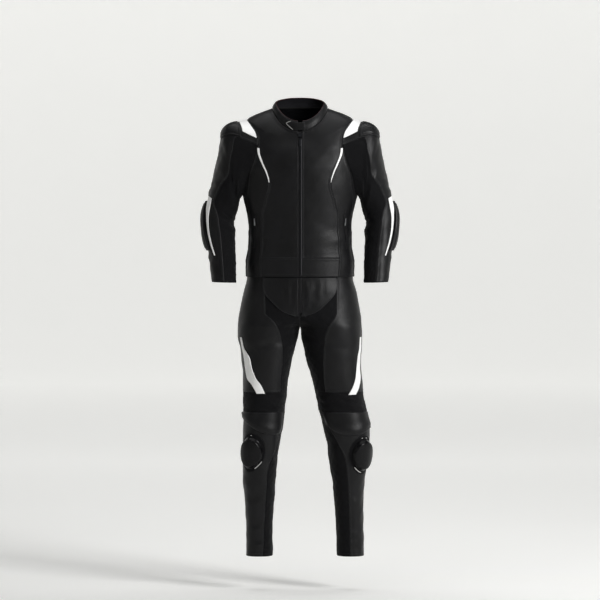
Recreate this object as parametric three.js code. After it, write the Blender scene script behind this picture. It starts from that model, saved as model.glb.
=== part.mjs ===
// A two-piece motorcycle race suit, worn: leather jacket and trousers, hollow, with every opening open.
// Millimetres, +Z up, the front faces -Y. Heights in the tables are above the floor that the wearer
// stands on. The finished group is lowered, so the origin is at shoulder height, where it is held up.
import * as THREE from 'three';

const SHOULDER_HEIGHT = 1504;
const LEATHER = 2;
const STRETCH = 1.6;
const COLLAR_WALL = 3;
const PATCH = 1.6;
const SEAM_PULL = 0.2; // each panel stops this far short of its seam line
const LAYER_LIFT = 0.8; // clearance of a piece that lies on a flat panel
const ROUND_LIFT = 1.4; // and of one that lies round a limb, whose facets dip between their corners
const ROUNDNESS = 2.3; // exponent of the body's and the legs' sections, 2 would be an ellipse
const DEGREE = Math.PI / 180;

const FINISH = {
  leather: { color: 0x1b1b1d, roughness: 0.48 },
  stretch: { color: 0x0c0c0e, roughness: 0.85 },
  white: { color: 0xe9eaec, roughness: 0.42 },
  moulded: { color: 0x141416, roughness: 0.36 },
  metal: { color: 0x9b9da0, roughness: 0.3, metalness: 0.9 },
  puck: { color: 0x1a1a1b, roughness: 0.3 },
};

// Jacket body: the section at each height. Above the chest line the heights are those of the side.
const BODY = [
  { height: 1003, halfWidth: 173, front: 112, back: 118 },
  { height: 1050, halfWidth: 173, front: 111, back: 112 },
  { height: 1100, halfWidth: 165, front: 110, back: 100 },
  { height: 1150, halfWidth: 163, front: 110, back: 95 },
  { height: 1200, halfWidth: 168, front: 113, back: 100 },
  { height: 1250, halfWidth: 180, front: 117, back: 110 },
  { height: 1300, halfWidth: 188, front: 121, back: 118 },
  { height: 1340, halfWidth: 189, front: 122, back: 122 },
  { height: 1400, halfWidth: 189, front: 116, back: 124 },
  { height: 1440, halfWidth: 187, front: 108, back: 118 },
  { height: 1475, halfWidth: 180, front: 99, back: 106 },
  { height: 1504, halfWidth: 167, front: 92, back: 92 },
  { height: 1522, halfWidth: 136, front: 88, back: 80 },
  { height: 1540, halfWidth: 88, front: 84, back: 60 },
];
const HEM = 1003;
const HEM_SEAM = 1062;
const CHEST_LINE = 1340;
const NECK = 1540;
const NECK_SIDE_HEIGHT = 1537;
const NECK_FRONT_DROP = 75;
const NECK_BACK_RISE = 3;
const NECK_DROP_POWER = 1.6;

// Armhole: its height runs as a cosine of the turn round it, and its width is a share of the body's.
const ARMHOLE_TOP = 1504;
const ARMHOLE_BOTTOM = 1265;
const ARMHOLE_STEP = 20;
const FRONT_TIP_TURN = 60;
const UNDERARM_TIP_TURN = 80;
const TIP_SHARE = 0.0065; // width of a panel's tip at the armhole
const ARMHOLE = [
  { turn: 0, front: 1, back: 1 },
  { turn: 15, front: 0.89, back: 0.93 },
  { turn: 30, front: 0.78, back: 0.86 },
  { turn: 45, front: 0.73, back: 0.82 },
  { turn: 60, front: 0.71, back: 0.8 },
  { turn: 75, front: 0.735, back: 0.8 },
  { turn: 90, front: 0.765, back: 0.81 },
  { turn: 105, front: 0.81, back: 0.83 },
  { turn: 120, front: 0.86, back: 0.86 },
  { turn: 135, front: 0.895, back: 0.89 },
  { turn: 150, front: 0.925, back: 0.92 },
  { turn: 165, front: 0.96, back: 0.96 },
  { turn: 180, front: 1, back: 1 },
];

// Jacket seams as shares of the body's half width at each height.
const PRINCESS_SEAM = [
  { height: 1003, share: 0.705 },
  { height: 1100, share: 0.733 },
  { height: 1190, share: 0.72 },
  { height: 1237, share: 0.625 },
  { height: 1296, share: 0.516 },
  { height: 1359, share: 0.609 },
  { height: 1415, share: 0.69 },
];
const SIDE_SEAM_FRONT = [
  { height: 1003, share: 0.985 },
  { height: 1200, share: 0.975 },
  { height: 1255, share: 0.935 },
  { height: 1289, share: 0.875 },
  { height: 1325, share: 0.845 },
  { height: 1363, share: 0.785 },
];
const SIDE_SEAM_BACK = [
  { height: 1003, share: 0.985 },
  { height: 1200, share: 0.97 },
  { height: 1265, share: 0.93 },
  { height: 1325, share: 0.82 },
  { height: 1370, share: 0.785 },
];
const ZIP_HALF_WIDTH = 4.5;

// Sleeve: outermost and innermost point of each ring from the armhole (ring 0) to the cuff, as seen
// from the front, with the ring's depth, its place along Y and how square its front and back are (less
// than 1 is squarer).
const SLEEVE = [
  { ring: 1, outX: 213, outZ: 1490, inX: 189, inZ: 1253, depth: 78, y: 2, square: 0.6 },
  { ring: 2, outX: 244, outZ: 1468, inX: 192, inZ: 1244, depth: 76, y: 4, square: 0.72 },
  { ring: 3, outX: 255, outZ: 1427, inX: 194, inZ: 1235, depth: 72, y: 6, square: 0.85 },
  { ring: 4, outX: 266, outZ: 1370, inX: 197, inZ: 1222, depth: 68, y: 8, square: 0.95 },
  { ring: 5, outX: 280, outZ: 1312, inX: 200, inZ: 1208, depth: 62, y: 10, square: 1 },
  { ring: 6, outX: 293, outZ: 1255, inX: 206, inZ: 1190, depth: 58, y: 12, square: 1 },
  { ring: 7, outX: 303, outZ: 1203, inX: 208, inZ: 1160, depth: 56, y: 9, square: 1 },
  { ring: 8, outX: 300, outZ: 1150, inX: 207, inZ: 1126, depth: 52, y: 0, square: 1 },
  { ring: 9, outX: 294, outZ: 1100, inX: 205, inZ: 1092, depth: 48, y: -14, square: 1 },
  { ring: 10, outX: 288, outZ: 1050, inX: 203, inZ: 1048, depth: 44, y: -32, square: 1 },
  { ring: 11, outX: 279, outZ: 987, inX: 202, inZ: 985, depth: 38, y: -58, square: 1 },
];
const SLEEVE_ROWS = [0, 0.3, 0.6, 0.95, 1.4, 2, 3, 4, 5, 5.9, 6.5, 7.1, 7.8, 8.6, 9.6, 11];
const SLEEVE_SEAM_FRONT = [
  { ring: 0, turn: 60 },
  { ring: 0.4, turn: 55 },
  { ring: 0.85, turn: 52 },
  { ring: 1.3, turn: 76 },
  { ring: 3, turn: 90 },
  { ring: 5, turn: 67 },
  { ring: 6, turn: 59 },
  { ring: 6.5, turn: 78 },
  { ring: 7, turn: 88 },
  { ring: 8.3, turn: 94 },
  { ring: 11, turn: 94 },
];
const SLEEVE_SEAM_BACK = [
  { ring: 0, turn: -80 },
  { ring: 2, turn: -92 },
  { ring: 11, turn: -96 },
];

// Legs: outermost and innermost distance from the mid plane at each height. Above the crotch the
// section reaches past the mid plane and is cut off there, which makes the rise.
const CROTCH = 843;
const LEG_RIGHT = [
  { height: 112, outer: 204, inner: 118, centre: 161, front: 45, back: 50, y: 14 },
  { height: 200, outer: 203, inner: 116, centre: 160, front: 48, back: 54, y: 12 },
  { height: 300, outer: 203, inner: 108, centre: 155, front: 56, back: 62, y: 8 },
  { height: 352, outer: 206, inner: 104, centre: 155, front: 62, back: 66, y: 4 },
  { height: 390, outer: 212, inner: 97, centre: 155, front: 66, back: 70, y: 2 },
  { height: 429, outer: 218, inner: 91, centre: 155, front: 70, back: 72, y: 0 },
  { height: 467, outer: 221, inner: 88, centre: 154, front: 76, back: 70, y: -3 },
  { height: 505, outer: 222, inner: 78, centre: 150, front: 80, back: 66, y: -5 },
  { height: 544, outer: 219, inner: 69, centre: 144, front: 82, back: 68, y: -5 },
  { height: 582, outer: 212, inner: 59, centre: 136, front: 82, back: 74, y: -3 },
  { height: 621, outer: 202, inner: 52, centre: 127, front: 84, back: 82, y: 0 },
  { height: 659, outer: 200, inner: 43, centre: 121, front: 88, back: 88, y: 0 },
  { height: 697, outer: 196, inner: 33, centre: 114, front: 93, back: 95, y: 0 },
  { height: 736, outer: 194, inner: 21, centre: 108, front: 97, back: 101, y: 0 },
  { height: 774, outer: 197, inner: 13, centre: 105, front: 101, back: 108, y: 0 },
  { height: 813, outer: 198, inner: 5, centre: 101, front: 105, back: 115, y: 0 },
  { height: 843, outer: 197, inner: 0, centre: 96, front: 108, back: 120, y: 0 },
  { height: 870, outer: 195, inner: -60, centre: 60, front: 110, back: 125, y: 0 },
  { height: 900, outer: 190, inner: -140, centre: 25, front: 112, back: 128, y: 0 },
  { height: 950, outer: 181, inner: -171, centre: 5, front: 112, back: 124, y: 0 },
  { height: 1003, outer: 168.6, inner: -168.6, centre: 0, front: 107.4, back: 112.6, y: 0 },
  { height: 1050, outer: 168.6, inner: -168.6, centre: 0, front: 106.4, back: 106.6, y: 0 },
];
// The left leg stands straighter: only its outline and middle differ from the right leg's.
const LEG_LEFT_OUTLINE = [
  { height: 112, outer: 172, inner: 88, centre: 130 },
  { height: 200, outer: 172, inner: 88, centre: 130 },
  { height: 300, outer: 177, inner: 82, centre: 129 },
  { height: 352, outer: 183, inner: 78, centre: 130 },
  { height: 390, outer: 183, inner: 75, centre: 129 },
  { height: 429, outer: 182, inner: 72, centre: 127 },
  { height: 467, outer: 182, inner: 66, centre: 124 },
  { height: 505, outer: 182, inner: 59, centre: 120 },
  { height: 544, outer: 181, inner: 51, centre: 116 },
  { height: 582, outer: 181, inner: 49, centre: 115 },
  { height: 621, outer: 181, inner: 44, centre: 112 },
  { height: 659, outer: 182, inner: 40, centre: 111 },
  { height: 697, outer: 182, inner: 34, centre: 108 },
  { height: 736, outer: 187, inner: 27, centre: 107 },
  { height: 774, outer: 190, inner: 17, centre: 104 },
  { height: 813, outer: 199, inner: 6, centre: 102 },
  { height: 843, outer: 199, inner: 0, centre: 97 },
  { height: 870, outer: 196, inner: -60, centre: 60 },
  { height: 900, outer: 191, inner: -140, centre: 25 },
  { height: 950, outer: 181, inner: -171, centre: 5 },
  { height: 1003, outer: 168.6, inner: -168.6, centre: 0 },
  { height: 1050, outer: 168.6, inner: -168.6, centre: 0 },
];
const LEG_LEFT = LEG_RIGHT.map((row, i) => ({ ...row, ...LEG_LEFT_OUTLINE[i] }));
const ANKLE = 112;
const KNEE_TOP = 638;
const KNEE_SEAM = 575;
const WAIST = 1050;
const SIDE_TURN = -12; // the legs' outer seam, a little behind the side
const SHIN_ROWS = [112, 200, 290, 345, 384, 415, 446, 480, 510, 543, 575];
const KNEE_ROWS = [575, 589, 603, 616, 628, 638];
const THIGH_ROWS = [638, 680, 720, 765, 812, 835, 843, 849, 858, 870, 889, 920, 960, 1003, 1050];

const LEG_ROWS = [...SHIN_ROWS, ...KNEE_ROWS.slice(1), ...THIGH_ROWS.slice(1)];

const THIGH_SEAM = {
  left: [
    { height: 638, x: 61 },
    { height: 683, x: 59 },
    { height: 734, x: 54 },
    { height: 789, x: 54 },
    { height: 814, x: 59 },
    { height: 842, x: 69 },
    { height: 869, x: 87 },
    { height: 889, x: 108 },
    { height: 1050, x: 112 },
  ],
  right: [
    { height: 638, x: 80 },
    { height: 683, x: 75 },
    { height: 724, x: 73 },
    { height: 785, x: 76 },
    { height: 816, x: 79 },
    { height: 840, x: 87 },
    { height: 867, x: 104 },
    { height: 889, x: 114 },
    { height: 1050, x: 117 },
  ],
};
const SHIN_SEAM = {
  left: [
    { height: 112, x: 118 },
    { height: 340, x: 106 },
    { height: 380, x: 103 },
    { height: 418, x: 92 },
    { height: 459, x: 77 },
    { height: 501, x: 65 },
    { height: 575, x: 55 },
  ],
  right: [
    { height: 112, x: 160 },
    { height: 336, x: 153 },
    { height: 418, x: 145 },
    { height: 470, x: 123 },
    { height: 528, x: 90 },
    { height: 575, x: 70 },
  ],
};
// Front pad of the trousers: its outline from the bottom of the U to the waist.
const FRONT_PAD = [
  { height: 880, x: 16 },
  { height: 888, x: 41 },
  { height: 899, x: 62 },
  { height: 923, x: 88 },
  { height: 952, x: 112 },
  { height: 975, x: 118 },
  { height: 1001, x: 115 },
];
const THIGH_FLASH = {
  left: [
    { height: 634, near: 110, far: 137 },
    { height: 663, near: 124, far: 153 },
    { height: 681, near: 138, far: 167 },
    { height: 714, near: 151, far: 173 },
    { height: 746, near: 158, far: 177 },
    { height: 777, near: 176, far: 183 },
    { height: 812, near: 184, far: 189 },
  ],
  right: [
    { height: 630, near: 152, far: 176 },
    { height: 652, near: 165, far: 186 },
    { height: 683, near: 175, far: 191 },
    { height: 714, near: 178, far: 189 },
    { height: 750, near: 182, far: 190 },
    { height: 777, near: 187, far: 192 },
    { height: 812, near: 189, far: 193 },
  ],
};
// Knee cup: how low its curved edge hangs across the knee.
const KNEE_CUP = {
  left: [
    { x: 54, bottom: 507 },
    { x: 81, bottom: 504 },
    { x: 113, bottom: 510 },
    { x: 144, bottom: 524 },
    { x: 173, bottom: 546 },
    { x: 180, bottom: 555 },
  ],
  right: [
    { x: 72, bottom: 545 },
    { x: 90, bottom: 528 },
    { x: 112, bottom: 511 },
    { x: 140, bottom: 503 },
    { x: 168, bottom: 501 },
    { x: 200, bottom: 510 },
    { x: 216, bottom: 521 },
  ],
};
const KNEE_CUP_TOP = 573;
const KNEE_CUP_SLICES = 12;
const SLIDER = {
  left: { height: 446, turn: 60 },
  right: { height: 438, turn: 47 },
};
const SLIDER_HALF_HEIGHT = 51;
const SLIDER_HALF_TURN = 36;
const SLIDER_THICKNESS = 13;
const SURROUND_MARGIN = 11;
const SURROUND_TURN_MARGIN = 8;

// The largest folds: a ridge or trough across a chart, at a place, with its depth, reach and slant.
const BODY_FOLDS = [
  { turn: 60, height: 1128, depth: 3.2, reach: 15, spread: 34, slant: 0.35 },
  { turn: -60, height: 1134, depth: 3.4, reach: 14, spread: 34, slant: -0.3 },
  { turn: 150, height: 1120, depth: 4.0, reach: 18, spread: 50, slant: 0.1 },
  { turn: 210, height: 1168, depth: -3.2, reach: 16, spread: 44, slant: -0.15 },
];
const LEG_FOLDS = [
  { turn: 95, height: 618, depth: 3.4, reach: 8, spread: 75, slant: 0.06 },
  { turn: 80, height: 594, depth: 3.0, reach: 8, spread: 75, slant: -0.07 },
  { turn: 120, height: 805, depth: -4.0, reach: 14, spread: 50, slant: 0.5 },
  { turn: 250, height: 560, depth: -4.2, reach: 15, spread: 60, slant: 0.1 },
  { turn: 280, height: 835, depth: -5.0, reach: 16, spread: 60, slant: 0.2 },
];
const SLEEVE_FOLDS = [
  { turn: 165, height: 6.55, depth: -4.5, reach: 0.3, spread: 60, slant: 0 },
  { turn: 170, height: 7.45, depth: 3.5, reach: 0.35, spread: 60, slant: 0 },
  { turn: 110, height: 4.3, depth: 3.2, reach: 0.45, spread: 45, slant: 0.01 },
];

// A smooth curve through one named column of a table, that never swings past its points.
function curveOf(table, along, column) {
  const places = table.map((row) => row[along]);
  const values = table.map((row) => row[column]);
  const rise = (i) => (values[i + 1] - values[i]) / (places[i + 1] - places[i]);
  const slopes = values.map((_, i) => {
    if (i === 0) return rise(0);
    if (i === values.length - 1) return rise(i - 1);
    const before = rise(i - 1);
    const after = rise(i);
    return before * after <= 0 ? 0 : (2 * before * after) / (before + after);
  });
  return (place) => {
    const at = THREE.MathUtils.clamp(place, places[0], places[places.length - 1]);
    let i = 0;
    while (i < places.length - 2 && at > places[i + 1]) i += 1;
    const span = places[i + 1] - places[i];
    const t = (at - places[i]) / span;
    const squared = t * t;
    const cubed = squared * t;
    return (2 * cubed - 3 * squared + 1) * values[i]
      + (cubed - 2 * squared + t) * span * slopes[i]
      + (3 * squared - 2 * cubed) * values[i + 1]
      + (cubed - squared) * span * slopes[i + 1];
  };
}

function curvesOf(table, along) {
  const columns = Object.keys(table[0]).filter((key) => key !== along);
  return Object.fromEntries(columns.map((column) => [column, curveOf(table, along, column)]));
}

// Height of all folds of a list at one place of a chart.
function foldHeight(folds, turn, place) {
  return folds.reduce((sum, fold) => {
    const aside = THREE.MathUtils.euclideanModulo(turn - fold.turn + 180, 360) - 180;
    const across = (place - fold.height - fold.slant * aside) / fold.reach;
    return sum + fold.depth * Math.exp(-across * across - (aside / fold.spread) ** 2);
  }, 0);
}

// The signed power that turns a circle's sine or cosine into a rounder rectangle's.
function rounded(value) {
  return Math.sign(value) * Math.abs(value) ** (2 / ROUNDNESS);
}

function turnFromShare(share) {
  return Math.asin(THREE.MathUtils.clamp(share, 0, 1) ** (ROUNDNESS / 2)) / DEGREE;
}

const body = curvesOf(BODY, 'height');

function neckHeight(turn) {
  const cosine = Math.cos(turn * DEGREE);
  const front = Math.max(0, cosine) ** NECK_DROP_POWER;
  return NECK_SIDE_HEIGHT - NECK_FRONT_DROP * front + NECK_BACK_RISE * Math.max(0, -cosine);
}

// Body chart: turn 0 is the front middle, 90 the wearer's left side, 180 the back. `side` mirrors it.
function bodyChart(side) {
  const heightAt = (turn, height) => {
    if (height <= CHEST_LINE) return height;
    const share = (height - CHEST_LINE) / (NECK - CHEST_LINE);
    return CHEST_LINE + (neckHeight(turn) - CHEST_LINE) * share;
  };
  const point = (turn, height) => {
    const sine = rounded(Math.sin(turn * DEGREE));
    const cosine = rounded(Math.cos(turn * DEGREE));
    const depth = cosine > 0 ? body.front(height) : body.back(height);
    const swell = 1 + foldHeight(BODY_FOLDS, side * turn, height) / body.halfWidth(height);
    return new THREE.Vector3(
      side * body.halfWidth(height) * sine * swell,
      -depth * cosine * swell,
      heightAt(turn, height),
    );
  };
  return { point, middle: (turn, height) => new THREE.Vector3(0, 0, heightAt(turn, height)), stepU: 0.4, stepV: 0.4 };
}

const armhole = curvesOf(ARMHOLE, 'turn');

function armholeHeight(turn) {
  const middle = (ARMHOLE_TOP + ARMHOLE_BOTTOM) / 2;
  return middle + (ARMHOLE_TOP - ARMHOLE_BOTTOM) / 2 * Math.cos(turn * DEGREE);
}

// Turn round the armhole, 0 at the shoulder and 180 at the armpit, of a height on it.
function armholeTurn(height) {
  const middle = (ARMHOLE_TOP + ARMHOLE_BOTTOM) / 2;
  const cosine = (height - middle) / ((ARMHOLE_TOP - ARMHOLE_BOTTOM) / 2);
  return Math.acos(THREE.MathUtils.clamp(cosine, -1, 1)) / DEGREE;
}

function armholeFront(height) {
  return turnFromShare(armhole.front(armholeTurn(height)));
}

function armholeBack(height) {
  return 180 - turnFromShare(armhole.back(armholeTurn(height)));
}

// Where the sleeve's turn (negative behind) meets the body chart.
function armholePlace(turn) {
  const height = armholeHeight(turn);
  const wrapped = THREE.MathUtils.euclideanModulo(turn + 180, 360) - 180;
  return { turn: wrapped >= 0 ? armholeFront(height) : armholeBack(height), height };
}

// Sleeve chart: turn 0 is the outer side, 90 the front, 180 the inside; rings 0 to 11 run down the arm.
function sleeveChart(side) {
  const bodySide = bodyChart(side);
  const centre = (row) => new THREE.Vector3((row.outX + row.inX) / 2 * side, row.y, (row.outZ + row.inZ) / 2);
  const ringPoint = (ring, turn) => {
    if (ring < 1) {
      const place = armholePlace(turn);
      const point = bodySide.point(place.turn, place.height);
      if (ring === 0) return point;
      const next = ringPoint(1, turn);
      return point.multiplyScalar(2).sub(next);
    }
    const row = SLEEVE[Math.min(ring, SLEEVE.length) - 1];
    const arm = new THREE.Vector3((row.outX - row.inX) / 2 * side, 0, (row.outZ - row.inZ) / 2);
    const sine = Math.sin(turn * DEGREE);
    const forward = row.depth * Math.sign(sine) * Math.abs(sine) ** row.square;
    return centre(row)
      .addScaledVector(arm, Math.cos(turn * DEGREE))
      .add(new THREE.Vector3(0, -forward, 0));
  };
  const bare = (turn, place) => {
    const at = THREE.MathUtils.clamp(place, 0, SLEEVE.length);
    const first = Math.min(Math.floor(at), SLEEVE.length - 1);
    const t = at - first;
    const [a, b, c, d] = [-1, 0, 1, 2].map((i) => ringPoint(first + i, turn));
    const blend = (axis) => 0.5 * (2 * b[axis] + (c[axis] - a[axis]) * t
      + (2 * a[axis] - 5 * b[axis] + 4 * c[axis] - d[axis]) * t * t
      + (3 * b[axis] - a[axis] - 3 * c[axis] + d[axis]) * t * t * t);
    return new THREE.Vector3(blend('x'), blend('y'), blend('z'));
  };
  const middle = (turn, place) => bare(0, place).add(bare(180, place)).multiplyScalar(0.5);
  const point = (turn, place) => {
    const onSurface = bare(turn, place);
    const outward = onSurface.clone().sub(middle(turn, place)).normalize();
    return onSurface.addScaledVector(outward, foldHeight(SLEEVE_FOLDS, turn, place));
  };
  return { point, middle, stepU: 0.4, stepV: 0.01 };
}

// Leg chart: turn 0 is the outer side, 90 the front, 180 the inside, -90 the back.
function legChart(side, table) {
  const leg = curvesOf(table, 'height');
  const sizes = (height) => {
    const centre = leg.centre(height);
    return {
      centre,
      out: leg.outer(height) - centre,
      into: centre - leg.inner(height),
      front: leg.front(height),
      back: leg.back(height),
      y: leg.y(height),
    };
  };
  const point = (turn, height) => {
    const size = sizes(height);
    const cosine = rounded(Math.cos(turn * DEGREE));
    const sine = rounded(Math.sin(turn * DEGREE));
    const swell = 1 + foldHeight(LEG_FOLDS, turn, height) / size.front;
    const across = (cosine > 0 ? size.out : size.into) * cosine * swell;
    const depth = (sine > 0 ? size.front : size.back) * sine * swell;
    return new THREE.Vector3(side * Math.max(size.centre + across, SEAM_PULL), size.y - depth, height);
  };
  const middle = (turn, height) => new THREE.Vector3(side * sizes(height).centre, sizes(height).y, height);
  // Turn of a distance from the mid plane, on the front.
  const turnAt = (x, height) => {
    const size = sizes(height);
    const across = x - size.centre;
    const share = THREE.MathUtils.clamp(Math.abs(across) / (across > 0 ? size.out : size.into), 0, 1);
    return Math.acos(Math.sign(across) * share ** (ROUNDNESS / 2)) / DEGREE;
  };
  // Turn of the inside edge: the inseam below the crotch, the mid plane above it.
  const innerTurn = (height) => (height <= CROTCH ? 180 : turnAt(0, height));
  return { point, middle, turnAt, innerTurn, stepU: 0.4, stepV: 0.4 };
}

// Collar chart: share 0 is the neck seam and 1 the free edge.
const COLLAR = { halfWidth: 78, front: 79, back: 50, frontHeight: 1496, sideHeight: 1556, backHeight: 1574 };
const COLLAR_SEAM_RISE = 1.8;
const COLLAR_SWELL = 3;

function collarChart() {
  const neckRing = bodyChart(1);
  const point = (turn, share) => {
    const cosine = Math.cos(turn * DEGREE);
    const towardBack = Math.max(0, -cosine);
    const towardFront = Math.max(0, cosine) ** NECK_DROP_POWER;
    const low = neckRing.point(turn, NECK);
    low.z += COLLAR_SEAM_RISE;
    const top = new THREE.Vector3(
      COLLAR.halfWidth * rounded(Math.sin(turn * DEGREE)),
      -(cosine > 0 ? COLLAR.front : COLLAR.back) * rounded(cosine),
      COLLAR.sideHeight + (COLLAR.backHeight - COLLAR.sideHeight) * towardBack
        - (COLLAR.sideHeight - COLLAR.frontHeight) * towardFront,
    );
    const swell = COLLAR_SWELL * Math.sin(Math.PI * share);
    const outward = new THREE.Vector3(Math.sin(turn * DEGREE), -cosine, 0);
    return low.lerp(top, share).addScaledVector(outward, swell);
  };
  return { point, middle: (turn, share) => new THREE.Vector3(0, 0, point(turn, share).z), stepU: 0.4, stepV: 0.02 };
}

function slopesAt(chart, u, v) {
  const alongU = chart.point(u + chart.stepU, v).sub(chart.point(u - chart.stepU, v));
  const alongV = chart.point(u, v + chart.stepV).sub(chart.point(u, v - chart.stepV));
  return { alongU, alongV };
}

function normalAt(chart, u, v) {
  const { alongU, alongV } = slopesAt(chart, u, v);
  const normal = alongU.cross(alongV).normalize();
  const outward = chart.point(u, v).sub(chart.middle(u, v));
  return normal.dot(outward) < 0 ? normal.negate() : normal;
}

// The same surface with its two directions swapped, for a piece whose slices run up and down.
function turnedChart(chart) {
  return {
    point: (v, u) => chart.point(u, v),
    middle: (v, u) => chart.middle(u, v),
    stepU: chart.stepV,
    stepV: chart.stepU,
  };
}

// The normal on which two walls meet at the armhole. Where they fold towards each other outside, each
// wall keeps its own.
function armholeNormal(side, turn, ofSleeve) {
  const place = armholePlace(turn);
  const bodyNormal = normalAt(bodyChart(side), place.turn, place.height);
  const sleeve = sleeveChart(side);
  const sleeveNormal = normalAt(sleeve, turn, sleeve.stepV);
  const intoSleeve = sleeve.point(turn, 0.1).sub(sleeve.point(turn, 0));
  if (bodyNormal.dot(intoSleeve) > 0) return ofSleeve ? sleeveNormal : bodyNormal;
  const shared = bodyNormal.clone().add(sleeveNormal).normalize();
  return shared.divideScalar(Math.max(shared.dot(bodyNormal), 0.6));
}

// One closed wall between a left and a right edge over a list of rows. `lift` puts it on a panel,
// `relief` raises its outer face alone, `edgeNormal` gives the normal where it meets another wall.
function wallGeometry({ chart, rows, left, right, columns, wall, lift = 0, relief, edgeNormal }) {
  const outer = [];
  const inner = [];
  const lastRow = rows.length - 1;
  rows.forEach((row, i) => {
    const direction = Math.sign(right(row) - left(row));
    for (let j = 0; j <= columns; j += 1) {
      let u = THREE.MathUtils.lerp(left(row), right(row), j / columns);
      let v = row;
      const { alongU, alongV } = slopesAt(chart, u, v);
      const perU = SEAM_PULL * 2 * chart.stepU / alongU.length();
      const perV = SEAM_PULL * 2 * chart.stepV / alongV.length();
      const normal = (edgeNormal && edgeNormal(i, j, row)) || normalAt(chart, u, v);
      if (j === 0) u += direction * perU;
      if (j === columns) u -= direction * perU;
      if (i === 0) v += perV;
      if (i === lastRow) v -= perV;
      const base = chart.point(u, v);
      const raised = lift + (relief ? relief(u, v) : 0);
      outer.push(base.clone().addScaledVector(normal, raised));
      inner.push(base.clone().addScaledVector(normal, lift - wall));
    }
  });
  return closedWall(outer, inner, rows.length, columns + 1);
}

// Two grids of points, outer and inner, joined along their borders into one closed mesh facing out.
function closedWall(outer, inner, rowCount, columnCount) {
  const points = [...outer, ...inner];
  const offset = outer.length;
  const faces = [];
  const quad = (a, b, c, d) => faces.push([a, b, c], [a, c, d]);
  const at = (i, j) => i * columnCount + j;
  for (let i = 0; i < rowCount - 1; i += 1) {
    for (let j = 0; j < columnCount - 1; j += 1) {
      const [a, b, c, d] = [at(i, j), at(i, j + 1), at(i + 1, j + 1), at(i + 1, j)];
      quad(a, b, c, d);
      quad(d + offset, c + offset, b + offset, a + offset);
    }
  }
  for (let j = 0; j < columnCount - 1; j += 1) {
    quad(at(0, j + 1), at(0, j), at(0, j) + offset, at(0, j + 1) + offset);
    const top = rowCount - 1;
    quad(at(top, j), at(top, j + 1), at(top, j + 1) + offset, at(top, j) + offset);
  }
  for (let i = 0; i < rowCount - 1; i += 1) {
    quad(at(i, 0), at(i + 1, 0), at(i + 1, 0) + offset, at(i, 0) + offset);
    const end = columnCount - 1;
    quad(at(i, end), at(i, end) + offset, at(i + 1, end) + offset, at(i + 1, end));
  }
  const volume = faces.reduce((sum, [a, b, c]) => sum + points[a].dot(points[b].clone().cross(points[c])), 0);
  const facing = volume > 0 ? faces : faces.map(([a, b, c]) => [a, c, b]);
  const geometry = new THREE.BufferGeometry();
  geometry.setAttribute('position', new THREE.Float32BufferAttribute(points.flatMap((p) => p.toArray()), 3));
  geometry.setIndex(facing.flat());
  geometry.computeVertexNormals();
  return geometry;
}

const suit = new THREE.Group();

function add(name, finish, geometry) {
  const mesh = new THREE.Mesh(geometry, new THREE.MeshStandardMaterial(FINISH[finish]));
  mesh.name = name;
  suit.add(mesh);
  return mesh;
}

const SIDES = [
  { side: 1, name: 'right' },
  { side: -1, name: 'left' },
];

function rowsBetween(rows, from, to) {
  const margin = 0.01;
  return rows.filter((row) => row >= from - margin && row <= to + margin);
}

function armholeHeights() {
  const heights = [];
  for (let turn = 180; turn >= 0; turn -= ARMHOLE_STEP) heights.push(armholeHeight(turn));
  return heights;
}

const BODY_ROWS = [HEM, 1030, HEM_SEAM, 1095, 1130, 1165, 1200, 1235, ...armholeHeights(), 1522, NECK];
const FRONT_TIP = armholeHeight(FRONT_TIP_TURN);
const UNDERARM_TIP = armholeHeight(UNDERARM_TIP_TURN);

// A seam that runs up to the armhole, where its panel ends in a narrow tip.
function seamToArmhole(table, tipHeight, armholeShare) {
  return curveOf([...table, { height: tipHeight, share: armholeShare - TIP_SHARE }], 'height', 'share');
}

const princess = seamToArmhole(PRINCESS_SEAM, FRONT_TIP, armhole.front(FRONT_TIP_TURN));
const sideFront = seamToArmhole(SIDE_SEAM_FRONT, UNDERARM_TIP, armhole.front(UNDERARM_TIP_TURN));
const sideBack = seamToArmhole(SIDE_SEAM_BACK, UNDERARM_TIP, armhole.back(UNDERARM_TIP_TURN));
const princessTurn = (height) => turnFromShare(princess(height));
const sideFrontTurn = (height) => turnFromShare(sideFront(height));
const sideBackTurn = (height) => 180 - turnFromShare(sideBack(height));
const zipTurn = (height) => turnFromShare(ZIP_HALF_WIDTH / body.halfWidth(height));

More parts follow.
